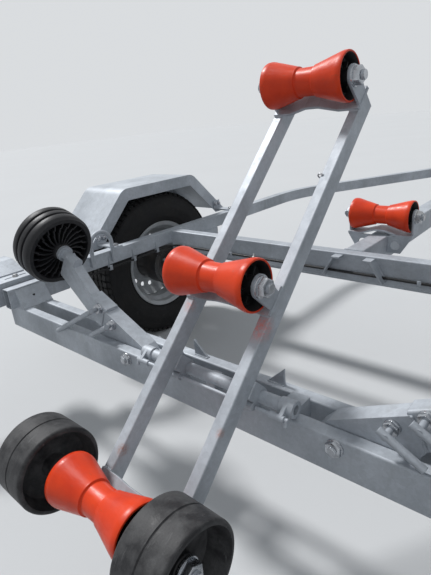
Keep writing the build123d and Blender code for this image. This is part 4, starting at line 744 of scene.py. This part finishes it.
def makeBeamBolts(s):
    bm = bmesh.new()
    for side in (1, -1):
        for u, way in ((s["rear"], -1), (s["front"], 1)):
            spot, out = at(u, side * s["offset"], s["height"]), Vector((way, 0, 0))
            addDisc(bm, spot, spot + out * s["sheet"], s["washer"], 36, s["washer"] * 0.96)
            addNut(bm, spot + out * 0.0003, out, *s["nut"])
    zincPiece("beam_bolts", bm)


makeBeamBolts(beamBolts)
print("nuts and bolts made")


# weld beads along the joints

railZ, crossZ, beamZ = 0.093, 0.013, -0.024  # top of the rails, cross member's underside, top of the beam
rearBar, frontBar = (-0.004, 0.026), (0.072, 0.102)  # the beam's tubes
sideSeams = [  # start and end of each bead on the left side, forward, to the left and up from the pivot
    ((0.64, 0.776, 0.045), (0.64, 0.776, railZ)), ((0.68, 0.776, 0.045), (0.68, 0.776, railZ)),
    ((0.642, 0.776, railZ), (0.678, 0.776, railZ)), ((0.68, 0.03, crossZ + 0.003), (0.68, 0.03, railZ)),
]
sideSeams += [((rear, y, beamZ), (front, y, beamZ))
              for y in (0.865, 0.829) for rear, front in (rearBar, frontBar)]
sideSeams += [((-0.002, 0.865, 0.0405), (0.1, 0.865, 0.0405))]
sideSeams += [((u, 0.16, beamZ), (u, 0.196, beamZ)) for u in (rearBar[1], frontBar[0])]
sideSeams += [((-0.003, y, beamZ), (0.025, y, beamZ)) for y in (0.175, 0.199, 0.012)]
sideSeams += [((u, 0.088, beamZ), (u, 0.129, beamZ)) for u in (0.084, 0.09)]
sideSeams += [((u - 0.019, 0.779, railZ), (u + 0.019, 0.779, railZ)) for u in (0.372, 1.052)]
sideSeams += [((u, 0.7755, 0.057), (u, 0.7755, 0.091)) for u in (0.2425, 0.2575, 0.3305, 0.3455)]
sideSeams += [((0.096, 0.865, 0.043), (0.13, 0.865, 0.043))]
sideSeams += [((u, 0.03, railZ), (u2, 0.03, railZ)) for u, u2 in ((2.888, 2.962), (2.832, 2.888))]
middleSeams = [((u, -0.028, railZ), (u, 0.028, railZ)) for u in (0.68, 2.83, 2.89)]
guideSeam = dict(u=0.6395, upper=0.0605, lower=0.0985, inset=0.011)
armSeams = (  # start and end along the left arm, upwards and forward, and the bead's size
    ((0.1855, -0.04, -0.0215), (0.1855, 0.021, -0.0215), 0.0032),
    ((0.1855, -0.04, 0.0215), (0.1855, 0.021, 0.0215), 0.0032),
    ((0.18, 0.0232, -0.018), (0.18, 0.0232, 0.018), 0.0032),
    ((0.384, 0.07, -0.0145), (0.397, 0.002, -0.0145), 0.0024))
ladderSeams = dict(
    foot=(0.0322, 0.088, 0.108, 0.0822), ears=((0.019, 0.1028, 0.0885), (0.03, 0.1093, 0.083)),
    tube=(0.017, 0.042), tubeFaces=(0.0868, 0.1112))


def makeChassisWelds(s):
    bm = bmesh.new()
    for start, end in sideSeams:
        addWeld(bm, at(*start), at(*end))
    bothSides(bm)
    for start, end in middleSeams:
        addWeld(bm, at(*start), at(*end))
    for side in (1, -1):
        upper, lower = ladderShift + side * s["upper"], ladderShift + side * s["lower"]
        addWeld(bm, at(s["u"], upper, railZ - s["inset"]), at(s["u"], lower, crossZ + s["inset"]))
    finishPiece("chassis_welds", bm, "chassis", "galvanised", dullSteel, sharp=60)


def makeArmWelds(seams):
    bm = bmesh.new()
    for start, end, size in seams:
        addWeld(bm, onArm(*start), onArm(*end), size)
    bothSides(bm)
    finishPiece("arm_welds", bm, "chassis", "galvanised", dullSteel, sharp=60)


def makeLadderWelds(s):
    bm = bmesh.new()
    reach, near, far, low = s["foot"]
    for along, rise in axlePlaces.values():
        for side in (1, -1):
            for end in (along - reach, along + reach):
                addWeld(bm, onLadder(end, side * near, low), onLadder(end, side * far, low))
            for half, face, height in s["ears"]:
                start, end = (onLadder(along + sign * half, side * face, height) for sign in (-1, 1))
                addWeld(bm, start, end)
    half, height = s["tube"]
    for side in (1, -1):
        for face in s["tubeFaces"]:
            addWeld(bm, onLadder(-half, side * face, height), onLadder(half, side * face, height))
    finishPiece("ladder_welds", bm, "ladder", "galvanised", steel, sharp=60)


random.seed(7)
makeChassisWelds(guideSeam)
makeArmWelds(armSeams)
makeLadderWelds(ladderSeams)
print("welds made")


# plugs in the open ends of the ladder's rails

plugShape = dict(size=(0.0018, 0.0246, 0.0394), soften=0.0007, spacing=0.099, rise=0.062,
                 ends=(-0.2618, 0.6898))


def makePlugs(s):
    bm = bmesh.new()
    turn = Matrix.Rotation(-ladderTilt, 4, "Y")
    for side in (1, -1):
        for along in s["ends"]:
            addBox(bm, onLadder(along, side * s["spacing"], s["rise"]), s["size"], turn, s["soften"])
    finishPiece("ladder_plugs", bm, "ladder", "black_plastic", blackPlasticAndShade, sharp=40)


makePlugs(plugShape)


# bolts of the lamp carriers, fenders and axle; a bolt's size is its radius, height and washer

smallBolts = dict(
    stripTop=0.059, stripLine=0.945, strip=(0.045, -0.059, -0.163), stripBolt=(0.0088, 0.0066, 0.012),
    back=-0.266, backHeight=0.0, backLines=(1.011, 1.091), backNut=(0.0088, 0.007, 0.0042, 0.006),
    stays=(0.372, 1.052), stayTop=0.099, stayLine=0.796, bolt=(0.0095, 0.007, 0.013),
    tabFace=0.8797, tabHeight=0.118, tabShift=0.011, tabBolt=(0.0078, 0.006, 0.0108),
    pads=(0.794, 0.91), padLow=0.013, padLine=0.796)


def makeSmallBolts(s):
    up = Vector((0, 0, 1))
    for name, side in signOf.items():
        bm = bmesh.new()
        for u in s["strip"]:
            addBolt(bm, at(u, side * s["stripLine"], s["stripTop"]), up, *s["stripBolt"])
        for line in s["backLines"]:
            addNut(bm, at(s["back"], side * line, s["backHeight"]), (1, 0, 0), *s["backNut"])
        zincPiece(f"lamp_bolts_{name}", bm, f"lamp_carrier_{name}")
    bm = bmesh.new()
    for u in s["stays"]:
        for shift in (-s["tabShift"], s["tabShift"]):
            addBolt(bm, at(u + shift, s["tabFace"], s["tabHeight"]), (0, -1, 0), *s["tabBolt"])
        addBolt(bm, at(u, s["stayLine"], s["stayTop"]), up, *s["bolt"])
    for u in s["pads"]:
        addBolt(bm, at(u, s["padLine"], s["padLow"]), -up, *s["bolt"])
    bothSides(bm)
    zincPiece("chassis_bolts", bm)


makeSmallBolts(smallBolts)


# small hooks that hold the cable under the rails and on the cross member, and white clips

cableKnots = ((0.235, 0.029), (0.43, 0.031), (0.6357, 0.035))  # forward and up from the pivot
cableHooks = dict(
    rail=(0.318, 0.43, 0.548), cross=(0.215, 0.455, 0.7), sheet=0.0022, wide=0.011, cable=0.004,
    soften=0.0004, back=(0.7782, 0.0435), shelf=(0.7716, 0.0154), lip=(0.765, 0.02),
    stud=(0.7752, 0.056), studSize=(0.0026, 0.003, 0.028),
    crossShelf=(0.6354, 0.01), crossLip=(0.6302, 0.015))
cableClips = dict(places=(-0.262, -0.59, 0.355), half=0.003, u=0.6357, radius=0.0053,
                  tag=(0.6382, 0.0425), tagSize=(0.003, 0.006, 0.011), soften=0.0006)


def cableHeight(u):
    for (start, low), (end, high) in zip(cableKnots, cableKnots[1:]):
        if u < end:
            return low + (u - start) / (end - start) * (high - low)


def makeCableHooks(s):
    bm = bmesh.new()
    sheet, wide, soften = s["sheet"], s["wide"], s["soften"]
    (back, top), (shelf, deep), (lip, high) = s["back"], s["shelf"], s["lip"]
    for u in s["rail"]:
        low = cableHeight(u) - s["cable"] - sheet
        addBox(bm, at(u, back, (low + top) / 2), (wide, sheet, top - low), soften=soften)
        addBox(bm, at(u, shelf, low + sheet / 2), (wide, deep, sheet), soften=soften)
        addBox(bm, at(u, lip, low + high / 2), (wide, sheet, high), soften=soften)
        addBox(bm, at(u, *s["stud"]), s["studSize"], soften=soften)
    (shelf, deep), (lip, high) = s["crossShelf"], s["crossLip"]
    low = cableKnots[-1][1] - s["cable"] - sheet
    for y in s["cross"]:
        addBox(bm, at(shelf, y, low + sheet / 2), (deep, wide, sheet), soften=soften)
        addBox(bm, at(lip, y, low + high / 2), (sheet, wide, high), soften=soften)
    bothSides(bm)
    finishPiece("cable_hooks", bm, "chassis", "galvanised", dullSteel, sharp=35)


def makeCableClips(s):
    bm = bmesh.new()
    tagU, tagZ = s["tag"]
    for y in s["places"]:
        start, end = (at(s["u"], y + shift, cableKnots[-1][1]) for shift in (-s["half"], s["half"]))
        addDisc(bm, start, end, s["radius"], 20)
        addBox(bm, at(tagU, y, tagZ), s["tagSize"], soften=s["soften"])
    finishPiece("cable_clips", bm, "chassis", "black_plastic", whitePlastic, sharp=35)


makeCableHooks(cableHooks)
makeCableClips(cableClips)


# triangular cheeks of the beam's sloping end plates, and a thin black disc on each plate that paints the
# shade of its small hole

cheekShape = dict(foot=0.829, top=0.865, low=-0.0238, high=0.0408, sheet=0.0035, rear=-0.0036, front=0.1016,
                  holeU=0.049, paintedHole=0.0042)


def makeBracketCheeks(s):
    bm = bmesh.new()
    top = s["top"] - 0.0002
    outline = [(s["foot"] + 0.006, s["low"]), (top, s["low"]), (top, s["high"] - 0.006)]
    for start in (s["rear"], s["front"] - s["sheet"]):
        rings = [[bm.verts.new(at(u, y, z)) for y, z in outline] for u in (start, start + s["sheet"])]
        bm.faces.new(rings[0])
        bm.faces.new(rings[1][::-1])
        for index in range(3):
            after = (index + 1) % 3
            bm.faces.new((rings[0][index], rings[1][index], rings[1][after], rings[0][after]))
    # a thin black disc where the small hole is: painted shade, no hole is cut
    paintedHole = at(s["holeU"], (s["foot"] + s["top"]) / 2, (s["low"] + s["high"]) / 2 + 0.0006)
    addDisc(bm, paintedHole - Vector((0, 0, 0.0004)), paintedHole - Vector((0, 0.0006, -0.0004)), s["paintedHole"], 20, finish=1)
    bothSides(bm)
    finishPiece("bracket_cheeks", bm, "chassis", "galvanised", dullSteel, blackPlasticAndShade, sharp=35)


makeBracketCheeks(cheekShape)
print("bolts, hooks and cheeks made")


# lamps: black housing with a clear, an amber and a red lens

lampShape = dict(
    housing=0.033, inset=0.003, soften=0.004, lensDepth=0.011, lensInset=0.0008, lensSoften=0.003,
    margin=0.016, strips=((-0.5, -0.17), (-0.165, 0.165), (0.17, 0.5)),
    screws=(-0.165, 0.165), screw=(0.0004, 0.0042, 0.003))


def makeLamp(side, s):
    name = f"lamp_{side}"
    low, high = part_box(name)
    middle, size = (low + high) / 2, high - low
    bm = bmesh.new()
    addBox(bm, Vector((high.x - s["housing"] / 2, middle.y, middle.z)),
           (s["housing"], size.y - 2 * s["inset"], size.z - 2 * s["inset"]), soften=s["soften"])
    span = size.y - s["margin"]
    for finish, (start, end) in enumerate(s["strips"], 1):
        centre = middle.y + signOf[side] * (start + end) / 2 * span
        addBox(bm, Vector((low.x + s["lensDepth"] / 2 + s["lensInset"], centre, middle.z)),
               (s["lensDepth"], (end - start) * span, size.z - s["margin"]), soften=s["lensSoften"],
               finish=finish)
    face, radius, depth = s["screw"]
    for share in s["screws"]:
        spot = Vector((low.x + face, middle.y + share * size.y, middle.z))
        addDisc(bm, spot, spot + Vector((depth, 0, 0)), radius, 18)
    finishPiece(f"{name}_lens", bm, f"lamp_carrier_{side}", "lamp_red", blackPlasticAndShade, clearLens, amberLens,
                redLens, sharp=30, replaced=[name])


for side in signOf:
    makeLamp(side, lampShape)
print("lamps made")


# brake back plates, dark, with a pressed ring and their bolts

backPlate = dict(near=0.8906, far=0.8973, radius=0.0897, ring=0.066, bolts=4, circle=0.046,
                 nut=(0.009, 0.007, 0.0045, 0.0036), plug=(-0.04, -0.004, 0.06),
                 plugSize=(0.026, 0.009, 0.012))


def makeBackPlates(s):
    bm = bmesh.new()
    hub = middleOf("tyre_left")
    face = Vector((hub.x, s["near"], hub.z))
    thick, radius, ring = s["far"] - s["near"], s["radius"], s["ring"]
    outline = [(thick, 0.0), (thick, radius - 0.001), (thick - 0.001, radius), (0.001, radius),
               (0.0, radius - 0.0015), (0.0, ring + 0.01), (-0.003, ring + 0.006), (-0.003, ring - 0.004),
               (0.0, ring - 0.008), (0.0, 0.0)]
    addSpin(bm, face, (0, 1, 0), outline, 64)
    for spot in roundY(face, s["circle"], s["bolts"], 0.5):
        addNut(bm, spot + Vector((0, 0.0004, 0)), (0, -1, 0), *s["nut"], finish=1)
    addBox(bm, face + Vector(s["plug"]), s["plugSize"], soften=0.002)
    bothSides(bm)
    finishPiece("brake_back_plates", bm, "chassis", "black_steel", blackPaint, agedPlate)


makeBackPlates(backPlate)


# small ring on the ladder's right rail, and the collars of the side arms' clamp screws

ringShape = dict(along=0.468, offset=-0.0865, rise=0.077, radius=0.008, wire=0.0015)
clampCollars = dict(screws=((0.208, 0.014, -0.0205), (0.146, 0.004, -0.022)),
                    collar=((-0.0004, 0.004, 0.015, 0.014, 32),), nutRise=0.004,
                    nut=(0.014, 0.0075, 0.0064, 0.0))


def makeLadderRing(s):
    bm = bmesh.new()
    centre = onLadder(s["along"], s["offset"], s["rise"])
    outline = [(s["wire"] * math.sin(a), s["radius"] + s["wire"] * math.cos(a))
               for a in (math.tau * index / 10 for index in range(10))]
    addSpin(bm, centre, (math.cos(ladderTilt), 0, math.sin(ladderTilt)), outline, 36)
    finishPiece("ladder_ring", bm, "ladder", "zinc", plated, sharp=60)


def makeClampCollars(s):
    bm = bmesh.new()
    rearward = Vector((-1, 0, 0))
    for screw in s["screws"]:
        addStack(bm, onArm(*screw), rearward, s["collar"])
        addNut(bm, onArm(*screw) + rearward * s["nutRise"], rearward, *s["nut"])
    bothSides(bm)
    zincPiece("clamp_collars", bm)


makeLadderRing(ringShape)
makeClampCollars(clampCollars)


# front gear: bolts, bands and grips of the winch, the overrun unit, the coupling and the brake lever

frontGear = dict(
    winch=(2.86, 0.605), cheek=0.0445, winchNut=(0.0165, 0.009, 0.0088, 0.0036),
    stop=(2.667, 0.063, 0.541), stopLean=0.16, stopBolt=(0.01, 0.0065, 0.015),
    shelf=(2.783, 2.937), shelfLine=0.034, shelfTop=0.531, shelfBolt=(0.0085, 0.0062, 0.0118),
    shaft=(2.9063, 0.5662), armFace=0.0772, crankNut=(0.0125, 0.008, 0.006, 0.0036),
    housing=((3.235, 0.12), (3.445, 0.12), (3.445, 0.152)), housingBolt=(0.0105, 0.0075, 0.015),
    shell=((3.742, 0.133), (3.778, 0.133)), shellBolt=(0.011, 0.008, 0.0155), housingSide=0.04,
    nipples=(3.33, 3.48), housingTop=0.1733,
    nipple=((0.0, 0.005, 0.006, 0.006, 6), (0.005, 0.01, 0.0036, 0.0026, 16),
            (0.01, 0.0135, 0.0034, 0.0022, 16)),
    bellows=(3.5125, 3.6275), drawLine=0.133, clasp=(0.0392, (0.008, 0.006, 0.011)),
    band=((-0.003, 0.0345), (-0.003, 0.0386), (0.003, 0.0386), (0.003, 0.0345)))
gripShape = dict(
    coupling=(3.782, 0.2105), slope=8.5, pad=(0.064, 0.036, 0.015), padRibs=5, padPitch=0.011,
    padRib=(0.004, 0.0375, 0.0165), foot=(3.36, 0.133), head=(3.23, 0.393), leverSide=0.05,
    grip=(0.0155, 0.0295, 0.112), gripDrop=0.055, gripRibs=7, ribDrop=0.018, gripPitch=0.013,
    gripRib=(0.017, 0.031, 0.005))


def makeWinchBolts(s):
    bm = bmesh.new()
    u, z = s["winch"]
    stopU, stopY, stopZ = s["stop"]
    for side in (1, -1):
        addNut(bm, at(u, side * s["cheek"], z), (0, side, 0), *s["winchNut"])
        addBolt(bm, at(stopU, side * stopY, stopZ), (s["stopLean"], side, 0), *s["stopBolt"])
        for shelfU in s["shelf"]:
            addBolt(bm, at(shelfU, side * s["shelfLine"], s["shelfTop"]), (0, 0, 1), *s["shelfBolt"])
    zincPiece("winch_bolts", bm)
    bm = bmesh.new()
    u, z = s["shaft"]
    addDisc(bm, at(u, -s["armFace"] + 0.0004, z), at(u, -s["armFace"] - 0.0022, z), 0.014, 28)
    addNut(bm, at(u, -s["armFace"] - 0.002, z), (0, -1, 0), *s["crankNut"])
    zincPiece("crank_nut", bm, "winch_crank_body")


def makeOverrunBolts(s):
    bm = bmesh.new()
    for places, bolt in ((s["housing"], s["housingBolt"]), (s["shell"], s["shellBolt"])):
        for u, z in places:
            addBolt(bm, at(u, s["housingSide"], z), (0, 1, 0), *bolt)
    bothSides(bm)
    for u in s["nipples"]:
        addStack(bm, at(u, 0, s["housingTop"]), Vector((0, 0, 1)), s["nipple"])
    claspSide, claspSize = s["clasp"]
    for u in s["bellows"]:  # bands round the ends of the bellows
        addSpin(bm, at(u, 0, s["drawLine"]), (1, 0, 0), s["band"], 48)
        addBox(bm, at(u, claspSide, s["drawLine"]), claspSize, soften=0.001)
    zincPiece("overrun_bolts", bm)


def makeGrips(s):
    bm = bmesh.new()
    turn = Matrix.Rotation(math.radians(s["slope"]), 4, "Y")
    pad = at(s["coupling"][0], 0, s["coupling"][1])
    addBox(bm, pad, s["pad"], turn, 0.0035)
    for index in range(s["padRibs"]):
        shift = Vector(((index - s["padRibs"] // 2) * s["padPitch"], 0, 0))
        addBox(bm, pad + turn @ shift, s["padRib"], turn, 0.0012)
    foot, head = (at(u, -s["leverSide"], z) for u, z in (s["foot"], s["head"]))
    run = (head - foot).normalized()
    turn = Matrix.Rotation(math.atan2(run.x, run.z), 4, "Y")
    addBox(bm, head - run * s["gripDrop"], s["grip"], turn, 0.0045)
    for index in range(s["gripRibs"]):
        addBox(bm, head - run * (s["ribDrop"] + index * s["gripPitch"]), s["gripRib"], turn, 0.0015)
    finishPiece("front_grips", bm, "chassis", "black_plastic", blackPlasticAndShade)


makeWinchBolts(frontGear)
makeOverrunBolts(frontGear)
makeGrips(gripShape)
print("front gear trimmed")


# floor, backdrop and light

roomLook = dict(
    floor=(0.6, 0.61, 0.62), bounce=(0.2, 0.21, 0.22), size=30.0, backdrop=(0.7, 0.72, 0.74),
    sky=(0.9, 0.95, 1.0), skyStrength=0.42, sun=2.75, sunAngle=9.0, sunHeading=88.0, sunHeight=53.0,
    fill=0.15, fillAngle=60.0, fillHeading=222.0, fillHeight=30.0)


def seenDirectly(tree):  # one for the rays that show the background, also in metal and lenses
    path = addNode(tree, "LightPath")
    share = path.outputs["Is Camera Ray"]
    for ray in ("Is Glossy Ray", "Is Transmission Ray"):
        more = addNode(tree, "Math")
        more.operation = "MAXIMUM"
        tree.links.new(share, more.inputs[0])
        tree.links.new(path.outputs[ray], more.inputs[1])
        share = more.outputs[0]
    return share


def makeFloor(look):
    material, tree, shader, place = startMaterial("floorPaint")
    soft = noise(tree, place, 0.8, 2.0)
    worn = tuple(channel * 0.985 for channel in look["floor"])
    seen = mixed(tree, ramp(tree, soft, (0.35, 0.0), (0.65, 1.0)), look["floor"], worn)
    base = mixed(tree, seenDirectly(tree), look["bounce"], seen)
    tree.links.new(base, shader.inputs["Base Color"])
    shader.inputs["Roughness"].default_value = 0.9
    bm = bmesh.new()
    bmesh.ops.create_grid(bm, x_segments=1, y_segments=1, size=look["size"])
    addMesh("floor", bm, [material])


def makeSky(look):
    world = bpy.data.worlds.new("studio")
    bpy.context.scene.world = world
    world.use_nodes = True
    tree = world.node_tree
    tree.nodes.clear()
    pick = addNode(tree, "MixShader", Fac=seenDirectly(tree))
    for slot, colour, strength in ((1, look["sky"], look["skyStrength"]), (2, look["backdrop"], 1.0)):
        light = addNode(tree, "Background", Color=(*colour, 1), Strength=strength)
        tree.links.new(light.outputs[0], pick.inputs[slot])
    addNode(tree, "OutputWorld", Surface=pick.outputs[0])


def addSun(name, strength, angle, heading, height):
    data = bpy.data.lights.new(name, "SUN")
    data.energy = strength
    data.angle = math.radians(angle)
    toLamp = towards(math.radians(heading), math.radians(height))
    addObject(name, data).rotation_euler = toLamp.to_track_quat("Z", "Y").to_euler()


def makeRoom(look):
    makeFloor(look)
    makeSky(look)
    addSun("keyLight", look["sun"], look["sunAngle"], look["sunHeading"], look["sunHeight"])
    addSun("fillLight", look["fill"], look["fillAngle"], look["fillHeading"], look["fillHeight"])


makeRoom(roomLook)
print("room made")
